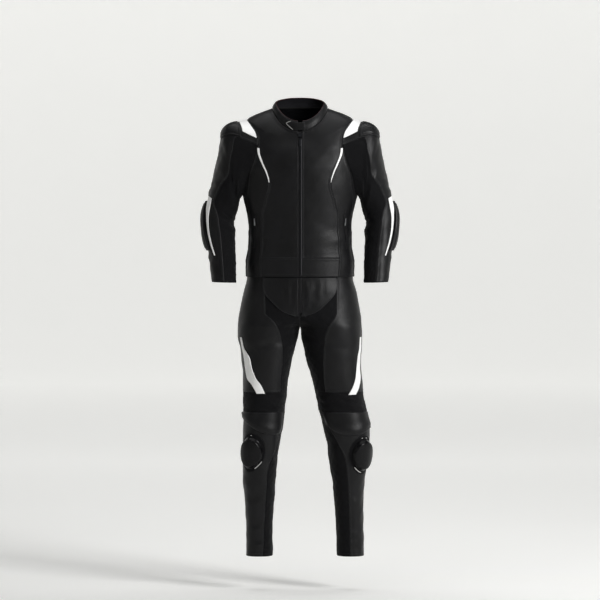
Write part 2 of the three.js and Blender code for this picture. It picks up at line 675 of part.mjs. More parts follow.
// Front of the jacket on one side: hem band, middle front, side front and underarm stretch.
function jacketFront({ side, name }) {
  const chart = bodyChart(side);
  const margin = 0.01;
  const onArmhole = (row) => row > ARMHOLE_BOTTOM - margin && row < ARMHOLE_TOP + margin;
  const meets = (row) => armholeNormal(side, armholeTurn(row), false);
  add(`jacket_hem_band_${name}`, 'leather', wallGeometry({
    chart, rows: rowsBetween(BODY_ROWS, HEM, HEM_SEAM), left: zipTurn, right: princessTurn, columns: 4, wall: LEATHER,
  }));
  const frontEdge = (row) => {
    if (row < FRONT_TIP - margin) return princessTurn(row);
    if (row < FRONT_TIP + margin) return turnFromShare(princess(row));
    return row < ARMHOLE_TOP ? armholeFront(row) : 90;
  };
  add(`jacket_front_${name}`, 'leather', wallGeometry({
    chart,
    rows: rowsBetween(BODY_ROWS, HEM_SEAM, NECK),
    left: zipTurn,
    right: frontEdge,
    columns: 4,
    wall: LEATHER,
    edgeNormal: (i, j, row) => (j === 4 && row >= FRONT_TIP - margin && onArmhole(row) ? meets(row) : null),
  }));
  const sideEdge = (row) => (row < UNDERARM_TIP + margin ? sideFrontTurn(row) : armholeFront(row));
  add(`jacket_side_front_${name}`, 'leather', wallGeometry({
    chart,
    rows: rowsBetween(BODY_ROWS, HEM, FRONT_TIP),
    left: princessTurn,
    right: sideEdge,
    columns: 3,
    wall: LEATHER,
    edgeNormal: (i, j, row) => (row >= UNDERARM_TIP - margin && (j === 3 || row > FRONT_TIP - margin) ? meets(row) : null),
  }));
  const underarmFront = (row) => (row <= ARMHOLE_BOTTOM ? 90 : armholeFront(row));
  add(`jacket_underarm_front_${name}`, 'stretch', wallGeometry({
    chart,
    rows: rowsBetween(BODY_ROWS, HEM, UNDERARM_TIP),
    left: sideFrontTurn,
    right: underarmFront,
    columns: 2,
    wall: STRETCH,
    edgeNormal: (i, j, row) => (j === 2 && onArmhole(row) ? meets(row) : null),
  }));
  const underarmBack = (row) => (row <= ARMHOLE_BOTTOM ? 90 : armholeBack(row));
  add(`jacket_underarm_back_${name}`, 'stretch', wallGeometry({
    chart,
    rows: rowsBetween(BODY_ROWS, HEM, UNDERARM_TIP),
    left: sideBackTurn,
    right: underarmBack,
    columns: 2,
    wall: STRETCH,
    edgeNormal: (i, j, row) => (j === 2 && onArmhole(row) ? armholeNormal(side, -armholeTurn(row), false) : null),
  }));
}

function jacketBack() {
  const margin = 0.01;
  const columns = 10;
  const edge = (row) => {
    if (row < UNDERARM_TIP + margin) return sideBackTurn(row);
    return row < ARMHOLE_TOP ? armholeBack(row) : 90;
  };
  const meets = (i, j, row) => {
    const touches = row > UNDERARM_TIP - margin && row < ARMHOLE_TOP + margin;
    if (!touches || (j !== 0 && j !== columns)) return null;
    return armholeNormal(j === 0 ? 1 : -1, -armholeTurn(row), false);
  };
  add('jacket_back', 'leather', wallGeometry({
    chart: bodyChart(1),
    rows: BODY_ROWS,
    left: edge,
    right: (row) => 360 - edge(row),
    columns,
    wall: LEATHER,
    edgeNormal: meets,
  }));
}

// Sleeve of one side: outer leather, inner stretch, and the pieces that lie on them.
function sleeve({ side, name }) {
  const chart = sleeveChart(side);
  const front = curveOf(SLEEVE_SEAM_FRONT, 'ring', 'turn');
  const back = curveOf(SLEEVE_SEAM_BACK, 'ring', 'turn');
  const leatherColumns = 7;
  const stretchColumns = 11;
  const meetAt = (from, to, columns) => (i, j) => {
    if (i !== 0) return null;
    return armholeNormal(side, from(0) + (to(0) - from(0)) * j / columns, true);
  };
  add(`sleeve_outer_${name}`, 'leather', wallGeometry({
    chart, rows: SLEEVE_ROWS, left: back, right: front, columns: leatherColumns, wall: LEATHER,
    edgeNormal: meetAt(back, front, leatherColumns),
  }));
  const around = (ring) => back(ring) + 360;
  add(`sleeve_inner_${name}`, 'stretch', wallGeometry({
    chart, rows: SLEEVE_ROWS, left: front, right: around, columns: stretchColumns, wall: STRETCH,
    edgeNormal: meetAt(front, around, stretchColumns),
  }));
}

// A table of near and far turns over a sleeve makes one laid-on piece.
const SHOULDER_FLASH = [
  { ring: 0.05, near: -62, far: 44.3 },
  { ring: 0.3, near: -61, far: 41 },
  { ring: 0.58, near: -58, far: 36.3 },
];
const SHOULDER_CAP = [
  { ring: 0.66, near: -64, far: 51 },
  { ring: 0.95, near: -66, far: 49 },
  { ring: 1.4, near: -60, far: 45 },
  { ring: 2, near: -46, far: 36 },
  { ring: 2.6, near: -24, far: 20 },
];
const ELBOW_FLASH = [
  { ring: 5.9, near: 44, far: 17 },
  { ring: 6.5, near: 46, far: 20 },
  { ring: 7.1, near: 45, far: 30 },
  { ring: 7.8, near: 43, far: 31 },
  { ring: 8.6, near: 48, far: 38 },
  { ring: 9.6, near: 62, far: 56 },
];
const ELBOW_GUARD = [
  { ring: 6.2, near: 10, far: -30 },
  { ring: 6.5, near: 16, far: -50 },
  { ring: 7.1, near: 16, far: -64 },
  { ring: 7.8, near: 18, far: -64 },
  { ring: 8.6, near: 29, far: -52 },
  { ring: 9.3, near: 38, far: -30 },
];
const FLASH_CLEARANCE = 1.9; // the shoulder's ridge is the sharpest bend
const ELBOW_CLEARANCE = 1.1;
const CAP_SWELL = 5;
const GUARD_SWELL = 15;

function sleevePatch(name, finish, side, table, columns, swell, clearance = ROUND_LIFT) {
  const near = curveOf(table, 'ring', 'near');
  const far = curveOf(table, 'ring', 'far');
  const first = table[0].ring;
  const last = table[table.length - 1].ring;
  const dome = (turn, ring) => {
    const across = (2 * (turn - near(ring)) / (far(ring) - near(ring))) - 1;
    const along = 2 * (ring - first) / (last - first) - 1;
    return swell * Math.sqrt(Math.max(0, (1 - across * across) * (1 - along * along)));
  };
  add(name, finish, wallGeometry({
    chart: sleeveChart(side),
    rows: table.map((row) => row.ring),
    left: near,
    right: far,
    columns,
    wall: PATCH,
    lift: clearance + PATCH,
    relief: swell ? dome : undefined,
  }));
}

function sleevePieces({ side, name }) {
  sleevePatch(`shoulder_flash_${name}`, 'white', side, SHOULDER_FLASH, 12, 0, FLASH_CLEARANCE);
  sleevePatch(`shoulder_cap_${name}`, 'moulded', side, SHOULDER_CAP, 10, CAP_SWELL);
  sleevePatch(`elbow_flash_${name}`, 'white', side, ELBOW_FLASH, 3, 0, ELBOW_CLEARANCE);
  sleevePatch(`elbow_guard_${name}`, 'moulded', side, ELBOW_GUARD, 6, GUARD_SWELL);
}

// Chest strip along the curved front seam, tapering to a point at its lower end.
const CHEST_STRIP = [
  { height: 1300, width: 2 },
  { height: 1320, width: 4 },
  { height: 1345, width: 5.5 },
  { height: 1375, width: 6.5 },
  { height: 1405, width: 7 },
  { height: 1432, width: 7 },
];

function bodyPatch(name, finish, side, rows, left, right, columns) {
  add(name, finish, wallGeometry({
    chart: bodyChart(side), rows, left, right, columns, wall: PATCH, lift: LAYER_LIFT + PATCH,
  }));
}

function chestStrip({ side, name }) {
  const width = curveOf(CHEST_STRIP, 'height', 'width');
  const edge = (sign) => (height) => {
    const shift = sign * width(height) / 2 / body.halfWidth(height);
    return turnFromShare(princess(height) + shift);
  };
  bodyPatch(`chest_strip_${name}`, 'white', side, CHEST_STRIP.map((row) => row.height), edge(-1), edge(1), 2);
}

const POCKET = { top: 1200, bottom: 1095, topX: 141, bottomX: 146, halfWidth: 3.5 };
const POCKET_ROWS = [1095, 1130, 1165, 1200];

function pocketX(height) {
  return THREE.MathUtils.mapLinear(height, POCKET.bottom, POCKET.top, POCKET.bottomX, POCKET.topX);
}

function pocketZip({ side, name }) {
  const edge = (sign) => (height) => turnFromShare((pocketX(height) + sign * POCKET.halfWidth) / body.halfWidth(height));
  bodyPatch(`pocket_zip_${name}`, 'moulded', side, POCKET_ROWS, edge(-1), edge(1), 2);
}

// A flat pull tab that hangs from its hinge end, laid along a chart.
function pullTab(name, side, turn, height, size) {
  const chart = bodyChart(side);
  const normal = normalAt(chart, turn, height - size.length / 2);
  const across = slopesAt(chart, turn, height - size.length / 2).alongU.normalize();
  const up = new THREE.Vector3().crossVectors(normal, across).normalize();
  if (up.z < 0) up.negate();
  const sideways = new THREE.Vector3().crossVectors(up, normal);
  const hinge = chart.point(turn, height).addScaledVector(normal, size.lift + size.thickness / 2);
  const tab = add(name, 'metal', new THREE.BoxGeometry(size.width, size.thickness, size.length));
  const centre = hinge.clone().addScaledVector(up, -size.length / 2);
  tab.matrixAutoUpdate = false;
  tab.matrix.makeBasis(sideways, normal.clone(), up.clone()).setPosition(centre);
  if (tab.matrix.determinant() < 0) tab.matrix.makeBasis(sideways.negate(), normal, up).setPosition(centre);
  tab.userData.hinge = hinge.toArray();
  tab.userData.axis = new THREE.Vector3().crossVectors(up.clone().negate(), normal).toArray();
  return tab;
}

const POCKET_PULL = { width: 5, thickness: 1.6, length: 23, lift: 3.4 };
const FRONT_PULL = { width: 8, thickness: 1.8, length: 27, lift: 1.2 };
const FRONT_PULL_HEIGHT = 1504;
const FRONT_SLIDER = { width: 11, thickness: 3.8, length: 14, rise: 2.4 };

function frontZip() {
  const tape = (height) => zipTurn(height);
  add('front_zip', 'moulded', wallGeometry({
    chart: bodyChart(1), rows: BODY_ROWS, left: (row) => -tape(row), right: tape, columns: 2, wall: LEATHER,
  }));
  const tab = pullTab('front_zip_pull', 1, 0, FRONT_PULL_HEIGHT, FRONT_PULL);
  const basis = tab.matrix;
  const slider = add('front_zip_slider', 'metal',
    new THREE.BoxGeometry(FRONT_SLIDER.width, FRONT_SLIDER.thickness, FRONT_SLIDER.length));
  slider.matrixAutoUpdate = false;
  const lifted = (FRONT_SLIDER.thickness - FRONT_PULL.thickness) / 2;
  const shift = new THREE.Vector3(0, lifted, (FRONT_PULL.length + FRONT_SLIDER.length) / 2 + FRONT_SLIDER.rise);
  slider.matrix.copy(basis).setPosition(shift.applyMatrix4(basis));
}

const COLLAR_SHARES = [0, 0.35, 0.7, 1];
const COLLAR_FRONT_TURN = 3.4;
const COLLAR_TAB = [
  { share: 0.12, tip: -13 },
  { share: 0.3, tip: -20 },
  { share: 0.5, tip: -26 },
  { share: 0.7, tip: -22 },
  { share: 0.88, tip: -17 },
];
const COLLAR_TAB_END = 8;

function collar() {
  const chart = collarChart();
  add('collar', 'leather', wallGeometry({
    chart, rows: COLLAR_SHARES, left: () => COLLAR_FRONT_TURN, right: () => 360 - COLLAR_FRONT_TURN,
    columns: 24, wall: COLLAR_WALL,
  }));
  add('collar_tab', 'leather', wallGeometry({
    chart,
    rows: COLLAR_TAB.map((row) => row.share),
    left: curveOf(COLLAR_TAB, 'share', 'tip'),
    right: () => COLLAR_TAB_END,
    columns: 4,
    wall: PATCH,
    lift: LAYER_LIFT + PATCH,
  }));
}

// Trouser leg of one side, from the waist to the ankle: the wall panels, then what lies on them.
function trouserLeg({ side, name }) {
  const chart = legChart(side, name === 'right' ? LEG_RIGHT : LEG_LEFT);
  const xOf = (table) => curveOf(table, 'height', 'x');
  const thighX = xOf(THIGH_SEAM[name]);
  const shinX = xOf(SHIN_SEAM[name]);
  const thighSeam = (height) => chart.turnAt(thighX(height), height);
  const shinSeam = (height) => chart.turnAt(shinX(height), height);
  const outside = () => SIDE_TURN;
  const inside = () => 180;
  const behindInside = (height) => -chart.innerTurn(height);
  const wallOf = (piece, finish, rows, left, right, columns) => add(`${piece}_${name}`, finish, wallGeometry({
    chart, rows, left, right, columns, wall: finish === 'leather' ? LEATHER : STRETCH,
  }));
  wallOf('trouser_crotch', 'stretch', THIGH_ROWS, chart.innerTurn, thighSeam, 5);
  wallOf('trouser_thigh', 'leather', THIGH_ROWS, thighSeam, outside, 6);
  wallOf('trouser_knee', 'stretch', KNEE_ROWS, inside, outside, 8);
  wallOf('trouser_calf', 'stretch', SHIN_ROWS, inside, shinSeam, 3);
  wallOf('trouser_shin', 'leather', SHIN_ROWS, shinSeam, outside, 6);
  wallOf('trouser_seat', 'leather', [...KNEE_ROWS, ...THIGH_ROWS.slice(1)], outside, behindInside, 8);
  wallOf('trouser_back_calf', 'leather', SHIN_ROWS, outside, () => -180, 8);
  trouserPieces(chart, name);
}

// Rows of a piece that lies on a leg: its own ends, and the leg's rows between them.
function layRows(table, rows) {
  const first = table[0].height;
  const last = table[table.length - 1].height;
  const clear = 4;
  const own = table.slice(1, -1).map((row) => row.height);
  const far = (row) => own.every((height) => Math.abs(height - row) > clear);
  const between = rows.filter((row) => row > first + clear && row < last - clear && far(row));
  return [first, ...own, ...between, last].sort((a, b) => a - b);
}

function trouserPieces(chart, name) {
  const lay = (piece, finish, rows, left, right, columns, relief, lift = LAYER_LIFT + PATCH) => {
    add(`${piece}_${name}`, finish, wallGeometry({ chart, rows, left, right, columns, wall: PATCH, lift, relief }));
  };
  const padX = curveOf(FRONT_PAD, 'height', 'x');
  const padRows = layRows(FRONT_PAD, THIGH_ROWS);
  lay('front_pad', 'leather', padRows, (h) => chart.turnAt(FLY_HALF_WIDTH, h), (h) => chart.turnAt(padX(h), h), 5);
  const patch = (piece, finish, table, columns) => {
    const edge = (column) => {
      const x = curveOf(table, 'height', column);
      return (height) => chart.turnAt(x(height), height);
    };
    lay(piece, finish, layRows(table, LEG_ROWS), edge('near'), edge('far'), columns, undefined, 1.25 * PATCH + LAYER_LIFT);
  };
  patch('thigh_flash', 'white', THIGH_FLASH[name], 2);
  const bottom = curveOf(KNEE_CUP[name], 'x', 'bottom');
  const nearTurn = chart.turnAt(KNEE_CUP[name][0].x, KNEE_CUP_TOP);
  const xAt = (turn) => Math.abs(chart.point(turn, KNEE_CUP_TOP - 30).x);
  const slices = Array.from({ length: KNEE_CUP_SLICES + 1 }, (_, i) => nearTurn * (1 - i / KNEE_CUP_SLICES));
  add(`knee_cup_${name}`, 'leather', wallGeometry({
    chart: turnedChart(chart), rows: slices, left: (turn) => bottom(xAt(turn)), right: () => KNEE_CUP_TOP,
    columns: 3, wall: PATCH, lift: ROUND_LIFT + PATCH,
  }));
  const slider = SLIDER[name];
  const oval = (halfHeight, halfTurn, lift, swell) => {
    const turns = [-90, -58, -30, 0, 30, 58, 90];
    const bluntness = 0.97;
    const rows = turns.map((turn) => slider.height + halfHeight * Math.sin(turn * DEGREE));
    const half = (height) => {
      const share = bluntness * (height - slider.height) / halfHeight;
      return halfTurn * Math.sqrt(1 - Math.min(share * share, 1));
    };
    const dome = (turn, height) => {
      const away = ((turn - slider.turn) / halfTurn) ** 2 + ((height - slider.height) / halfHeight) ** 2;
      return swell * Math.sqrt(Math.max(0, 1 - away)) ;
    };
    return { rows, left: (h) => slider.turn + half(h), right: (h) => slider.turn - half(h), dome, lift };
  };
  const base = oval(SLIDER_HALF_HEIGHT + SURROUND_MARGIN, SLIDER_HALF_TURN + SURROUND_TURN_MARGIN, 0, 0);
  lay('slider_base', 'stretch', base.rows, base.left, base.right, 7, undefined, ROUND_LIFT + PATCH);
  const puck = oval(SLIDER_HALF_HEIGHT, SLIDER_HALF_TURN, 0, SLIDER_THICKNESS);
  lay('knee_slider', 'puck', puck.rows, puck.left, puck.right, 6, puck.dome, ROUND_LIFT + 3 * PATCH);
}

// Fly: a strip down the middle of the trousers' front, over both halves.
const FLY_HALF_WIDTH = 5;
const FLY_ROWS = [890, 920, 960, 1001];

function fly() {
  const leg = legChart(1, LEG_RIGHT);
  const point = (x, height) => {
    const front = leg.point(leg.innerTurn(height), height);
    return new THREE.Vector3(x, front.y, height);
  };
  const chart = { point, middle: (x, height) => new THREE.Vector3(x, 0, height), stepU: 0.4, stepV: 0.4 };
  add('fly', 'leather', wallGeometry({
    chart, rows: FLY_ROWS, left: () => -FLY_HALF_WIDTH, right: () => FLY_HALF_WIDTH, columns: 2,
    wall: PATCH, lift: LAYER_LIFT + PATCH,
  }));
}

function pocketPull({ side, name }) {
  const height = POCKET.top - 12;
  const turn = turnFromShare(pocketX(height) / body.halfWidth(height));
  pullTab(`pocket_pull_${name}`, side, turn, height, POCKET_PULL);
}

jacketBack();
collar();
frontZip();
fly();
[jacketFront, sleeve, sleevePieces, chestStrip, pocketZip, pocketPull, trouserLeg].forEach((make) => {
  SIDES.forEach((side) => make(side));
});
suit.position.z = -SHOULDER_HEIGHT;
suit.updateMatrixWorld(true);

export default suit;
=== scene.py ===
"""A motorcycle race suit, worn and hollow: two pieces of black and white cowhide with stretch panels.

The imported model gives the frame. Each cloth piece is made again here as a thin shell on its solid's own
form, with turned edges, stitching, creases and grain. The tables are millimetres above the floor, which
lies a little under the open ankles, and they repeat the part's own, because this script reads nothing
but the frame. The front faces -Y. In names, right is +X, as seen from the front.
"""
import math

import bpy
import numpy as np
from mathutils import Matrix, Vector


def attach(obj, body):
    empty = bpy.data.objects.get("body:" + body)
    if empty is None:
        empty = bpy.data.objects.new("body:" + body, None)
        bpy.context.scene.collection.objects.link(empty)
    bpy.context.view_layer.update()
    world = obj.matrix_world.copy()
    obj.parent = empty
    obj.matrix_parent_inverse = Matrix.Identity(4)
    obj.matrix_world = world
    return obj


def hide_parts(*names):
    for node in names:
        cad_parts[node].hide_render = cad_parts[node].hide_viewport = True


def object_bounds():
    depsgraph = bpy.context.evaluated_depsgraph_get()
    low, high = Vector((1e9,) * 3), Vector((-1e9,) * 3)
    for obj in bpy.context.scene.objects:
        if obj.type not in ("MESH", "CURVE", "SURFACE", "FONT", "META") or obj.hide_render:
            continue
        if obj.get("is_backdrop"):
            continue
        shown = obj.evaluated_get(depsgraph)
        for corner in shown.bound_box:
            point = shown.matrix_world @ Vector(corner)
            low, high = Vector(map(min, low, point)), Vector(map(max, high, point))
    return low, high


MM = 1000.0  # in a metre
SHOULDER_HEIGHT = 1504.0  # of the frame's origin above the floor
LEATHER = 2.0  # the walls' thicknesses
STRETCH = 1.6
COLLAR_WALL = 3.0
PATCH = 1.6
SEAM_PULL = 0.2  # a panel stops this short of its seam
SEATED = 0.5  # a piece on a panel stands this far off it
ON_CLOTH = PATCH + SEATED  # outer face of such a piece
ROUNDNESS = 2.3  # of the body's and the legs' sections: 2 is an ellipse
CELL = 4.6  # size of a mesh cell on the large panels
SMALL_CELL = 3.0  # on small pieces
FINE_CELL = 1.9  # and on moulded ones
TURNED_EDGE = 1.5  # radius of a panel's folded edge

# Beside a seam: the folded allowance's ridge and the trough next to it, by distance from the seam and width
LEATHER_RIDGE = 0.55  # its height
STRETCH_RIDGE = 0.4
RIDGE = (3.4, 2.6)
TROUGH = (8.5, 2.8)
TROUGH_SHARE = 0.45  # its depth, as a share of the ridge's height
GATHER_REACH = 9.0  # how far the thread's small gathers run in from the seam
NARROWEST_CUT = 10.0  # narrower strips are stated this wide
LEAST_FULLNESS = 0.32  # a cut that tapers more than this is stated narrower than its widest end
EDGE_STEPS = (0.0, 0.35, 0.9, 1.7, 3.0, 5.2)  # distances of the first rows of cells from an edge


def table(columns, *rows):
    """Named columns of numbers, a row for each section."""
    return dict(zip(columns.split(), np.array(rows, float).T))


BODY = table(
    "height half_width front back",
    (1003, 173, 112, 118),
    (1050, 173, 111, 112),
    (1100, 165, 110, 100),
    (1150, 163, 110, 95),
    (1200, 168, 113, 100),
    (1250, 180, 117, 110),
    (1300, 188, 121, 118),
    (1340, 189, 122, 122),
    (1400, 189, 116, 124),
    (1440, 187, 108, 118),
    (1475, 180, 99, 106),
    (1504, 167, 92, 92),
    (1522, 136, 88, 80),
    (1540, 88, 84, 60),
)
HEM = 1003.0
HEM_SEAM = 1062.0
CHEST_LINE = 1340.0
NECK = 1540.0
NECK_SIDE_HEIGHT = 1537.0
NECK_FRONT_DROP = 75.0
NECK_BACK_RISE = 3.0
NECK_DROP_POWER = 1.6

ARMHOLE_TOP = 1504.0
ARMHOLE_BOTTOM = 1265.0
FRONT_TIP_TURN = 60.0
UNDERARM_TIP_TURN = 80.0
TIP_SHARE = 0.0065
ARMHOLE = table(
    "turn front back",
    (0, 1, 1),
    (15, 0.89, 0.93),
    (30, 0.78, 0.86),
    (45, 0.73, 0.82),
    (60, 0.71, 0.8),
    (75, 0.735, 0.8),
    (90, 0.765, 0.81),
    (105, 0.81, 0.83),
    (120, 0.86, 0.86),
    (135, 0.895, 0.89),
    (150, 0.925, 0.92),
    (165, 0.96, 0.96),
    (180, 1, 1),
)

# Jacket seams, as shares of the body's half width at each height
PRINCESS_SEAM = [
    (1003, 0.705), (1100, 0.733), (1190, 0.72), (1237, 0.625), (1296, 0.516), (1359, 0.609), (1415, 0.69),
]
SIDE_SEAM_FRONT = [(1003, 0.985), (1200, 0.975), (1255, 0.935), (1289, 0.875), (1325, 0.845), (1363, 0.785)]
SIDE_SEAM_BACK = [(1003, 0.985), (1200, 0.97), (1265, 0.93), (1325, 0.82), (1370, 0.785)]
ZIP_HALF_WIDTH = 4.5
TEETH_SHORT = 26.0  # the teeth end this far under the neck, where the slider sits
FRONT_TOOTH = (3.4, 1.3, 1.5)  # across the zip, along it and out of it
FRONT_TEETH_REACH = 1.3  # of each row from the zip's middle
POCKET_TOOTH = (2.2, 1.1, 1.1)
POCKET_TEETH_REACH = 0.8
POCKET_TAPE_DIP = (0.5, 1.6)  # depth and half width of the dip down the tape's middle
POCKET_TAPE_CELL = 2.4

# Sleeve rings from the armhole to the cuff: outermost and innermost point, depth, place along Y, squareness
SLEEVE = table(
    "ring out_x out_z in_x in_z depth y square",
    (1, 213, 1490, 189, 1253, 78, 2, 0.6),
    (2, 244, 1468, 192, 1244, 76, 4, 0.72),
    (3, 255, 1427, 194, 1235, 72, 6, 0.85),
    (4, 266, 1370, 197, 1222, 68, 8, 0.95),
    (5, 280, 1312, 200, 1208, 62, 10, 1),
    (6, 293, 1255, 206, 1190, 58, 12, 1),
    (7, 303, 1203, 208, 1160, 56, 9, 1),
    (8, 300, 1150, 207, 1126, 52, 0, 1),
    (9, 294, 1100, 205, 1092, 48, -14, 1),
    (10, 288, 1050, 203, 1048, 44, -32, 1),
    (11, 279, 987, 202, 985, 38, -58, 1),
)
LAST_RING = 11
SLEEVE_SEAM_FRONT = table(
    "ring turn",
    (0, 60), (0.4, 55), (0.85, 52), (1.3, 76), (3, 90), (5, 67),
    (6, 59), (6.5, 78), (7, 88), (8.3, 94), (11, 94),
)
SLEEVE_SEAM_BACK = table("ring turn", (0, -80), (2, -92), (11, -96))

# Legs: outermost and innermost distance from the mid plane at each height
CROTCH = 843.0
LEG_DEPTH = table(
    "height front back y",
    (112, 45, 50, 14),
    (200, 48, 54, 12),
    (300, 56, 62, 8),
    (352, 62, 66, 4),
    (390, 66, 70, 2),
    (429, 70, 72, 0),
    (467, 76, 70, -3),
    (505, 80, 66, -5),
    (544, 82, 68, -5),
    (582, 82, 74, -3),
    (621, 84, 82, 0),
    (659, 88, 88, 0),
    (697, 93, 95, 0),
    (736, 97, 101, 0),
    (774, 101, 108, 0),
    (813, 105, 115, 0),
    (843, 108, 120, 0),
    (870, 110, 125, 0),
    (900, 112, 128, 0),
    (950, 112, 124, 0),
    (1003, 107.4, 112.6, 0),
    (1050, 106.4, 106.6, 0),
)
LEG_OUTLINE = {
    "right": table(
        "height outer inner centre",
        (112, 204, 118, 161),
        (200, 203, 116, 160),
        (300, 203, 108, 155),
        (352, 206, 104, 155),
        (390, 212, 97, 155),
        (429, 218, 91, 155),
        (467, 221, 88, 154),
        (505, 222, 78, 150),
        (544, 219, 69, 144),
        (582, 212, 59, 136),
        (621, 202, 52, 127),
        (659, 200, 43, 121),
        (697, 196, 33, 114),
        (736, 194, 21, 108),
        (774, 197, 13, 105),
        (813, 198, 5, 101),
        (843, 197, 0, 96),
        (870, 195, -60, 60),
        (900, 190, -140, 25),
        (950, 181, -171, 5),
        (1003, 168.6, -168.6, 0),
        (1050, 168.6, -168.6, 0),
    ),
    "left": table(
        "height outer inner centre",
        (112, 172, 88, 130),
        (200, 172, 88, 130),
        (300, 177, 82, 129),
        (352, 183, 78, 130),
        (390, 183, 75, 129),
        (429, 182, 72, 127),
        (467, 182, 66, 124),
        (505, 182, 59, 120),
        (544, 181, 51, 116),
        (582, 181, 49, 115),
        (621, 181, 44, 112),
        (659, 182, 40, 111),
        (697, 182, 34, 108),
        (736, 187, 27, 107),
        (774, 190, 17, 104),
        (813, 199, 6, 102),
        (843, 199, 0, 97),
        (870, 196, -60, 60),
        (900, 191, -140, 25),
        (950, 181, -171, 5),
        (1003, 168.6, -168.6, 0),
        (1050, 168.6, -168.6, 0),
    ),
}
ANKLE = 112.0
KNEE_SEAM = 575.0
KNEE_TOP = 638.0
WAIST = 1050.0
SIDE_TURN = -12.0
THIGH_SEAM = {
    "left": table(
        "height x",
        (638, 61), (683, 59), (734, 54), (789, 54), (814, 59), (842, 69), (869, 87), (889, 108), (1050, 112),
    ),
    "right": table(
        "height x",
        (638, 80), (683, 75), (724, 73), (785, 76), (816, 79), (840, 87), (867, 104), (889, 114), (1050, 117),
    ),
}
SHIN_SEAM = {
    "left": table("height x", (112, 118), (340, 106), (380, 103), (418, 92), (459, 77), (501, 65), (575, 55)),
    "right": table("height x", (112, 160), (336, 153), (418, 145), (470, 123), (528, 90), (575, 70)),
}
FRONT_PAD = table(
    "height x", (880, 16), (888, 41), (899, 62), (923, 88), (952, 112), (975, 118), (1001, 115),
)
THIGH_FLASH = {
    "left": table(
        "height near far",
        (634, 110, 137), (663, 124, 153), (681, 138, 167), (714, 151, 173), (746, 158, 177), (777, 176, 183),
        (812, 184, 189),
    ),
    "right": table(
        "height near far",
        (630, 152, 176), (652, 165, 186), (683, 175, 191), (714, 178, 189), (750, 182, 190), (777, 187, 192),
        (812, 189, 193),
    ),
}
KNEE_CUP = {
    "left": table("x bottom", (54, 507), (81, 504), (113, 510), (144, 524), (173, 546), (180, 555)),
    "right": table(
        "x bottom", (72, 545), (90, 528), (112, 511), (140, 503), (168, 501), (200, 510), (216, 521),
    ),
}
KNEE_CUP_TOP = 573.0
KNEE_CUP_CELL = 3.6
CUP_HEM_UNDER = 30.0  # the hem's place along X is taken this far under the top
CUP_ROLL = 4.5  # the cup stands out above its lower edge
CUP_ROLL_PLACE = 15.0
CUP_ROLL_WIDTH = 15.0
SLIDER = {"left": {"height": 446.0, "turn": 60.0}, "right": {"height": 438.0, "turn": 47.0}}
SLIDER_HALF_HEIGHT = 51.0
SLIDER_HALF_TURN = 36.0
SLIDER_THICKNESS = 13.0
SLIDER_BEVEL = (0.2, 0.72)  # its width, as a share of the slider, and its share of the thickness
OVAL_TIP = 0.985  # an oval's tips are cut off here, as a share of its half height
SURROUND_MARGIN = 11.0
SURROUND_TURN_MARGIN = 8.0

# The largest folds, which the solids have too
FOLDS = "turn place depth reach spread slant"
BODY_FOLDS = table(
    FOLDS,
    (60, 1128, 3.2, 15, 34, 0.35),
    (-60, 1134, 3.4, 14, 34, -0.3),
    (150, 1120, 4.0, 18, 50, 0.1),
    (210, 1168, -3.2, 16, 44, -0.15),
)
LEG_FOLDS = table(
    FOLDS,
    (95, 618, 3.4, 8, 75, 0.06),
    (80, 594, 3.0, 8, 75, -0.07),
    (120, 805, -4.0, 14, 50, 0.5),
    (250, 560, -4.2, 15, 60, 0.1),
    (280, 835, -5.0, 16, 60, 0.2),
)
SLEEVE_FOLDS = table(
    FOLDS,
    (165, 6.55, -4.5, 0.3, 60, 0),
    (170, 7.45, 3.5, 0.35, 60, 0),
    (110, 4.3, 3.2, 0.45, 45, 0.01),
)

SHOULDER_FLASH = table("ring near far", (0.05, -62, 44.3), (0.3, -61, 41), (0.58, -58, 36.3))
SHOULDER_CAP = table(
    "ring near far",
    (0.66, -64, 51), (0.95, -66, 49), (1.4, -60, 45), (2, -46, 36), (2.6, -24, 20),
)
ELBOW_FLASH = table(
    "ring near far",
    (5.9, 44, 17), (6.5, 46, 20), (7.1, 45, 30), (7.8, 43, 31), (8.6, 48, 38), (9.6, 62, 56),
)
ELBOW_GUARD = table(
    "ring near far",
    (6.2, 10, -30), (6.5, 16, -50), (7.1, 16, -64), (7.8, 18, -64), (8.6, 29, -52), (9.3, 38, -30),
)
CAP_SWELL = 3.0
GUARD_SWELL = 15.0
CHEST_STRIP = table(
    "height width", (1300, 2), (1320, 4), (1345, 5.5), (1375, 6.5), (1405, 7), (1432, 7),
)
POCKET = {"top": 1200.0, "bottom": 1095.0, "top_x": 141.0, "bottom_x": 146.0, "half_width": 3.5}
COLLAR = {
    "half_width": 78, "front": 79, "back": 50,
    "front_height": 1496, "side_height": 1556, "back_height": 1574,
}
COLLAR_SEAM_RISE = 1.8  # the collar's lower edge above the neck seam
COLLAR_SWELL = 3.0
COLLAR_FRONT_TURN = 3.4
COLLAR_TAB = table("share tip", (0.03, -12), (0.2, -19), (0.4, -27), (0.6, -23), (0.8, -18))
COLLAR_TAB_END = 8.0
FLY_HALF_WIDTH = 5.0
FLY_BOTTOM = 890.0
FLY_TOP = 1001.0

# Short white cords round the slider, start and end in degrees from its inner side: the short ones at its top
# are painted highlights, white marks standing in for glints on its top edge, and the longer ones low down are
# white lines along its lower edge
SLIDER_LINES_AND_GLINTS = {"left": [(-66, -28), (84, 92)], "right": [(-84, -42), (76, 83), (98, 106)]}
MARK_OVAL = (1.1, 1.09)  # its oval, as shares of the slider's half turn and half height
MARK_LIFT = 0.6
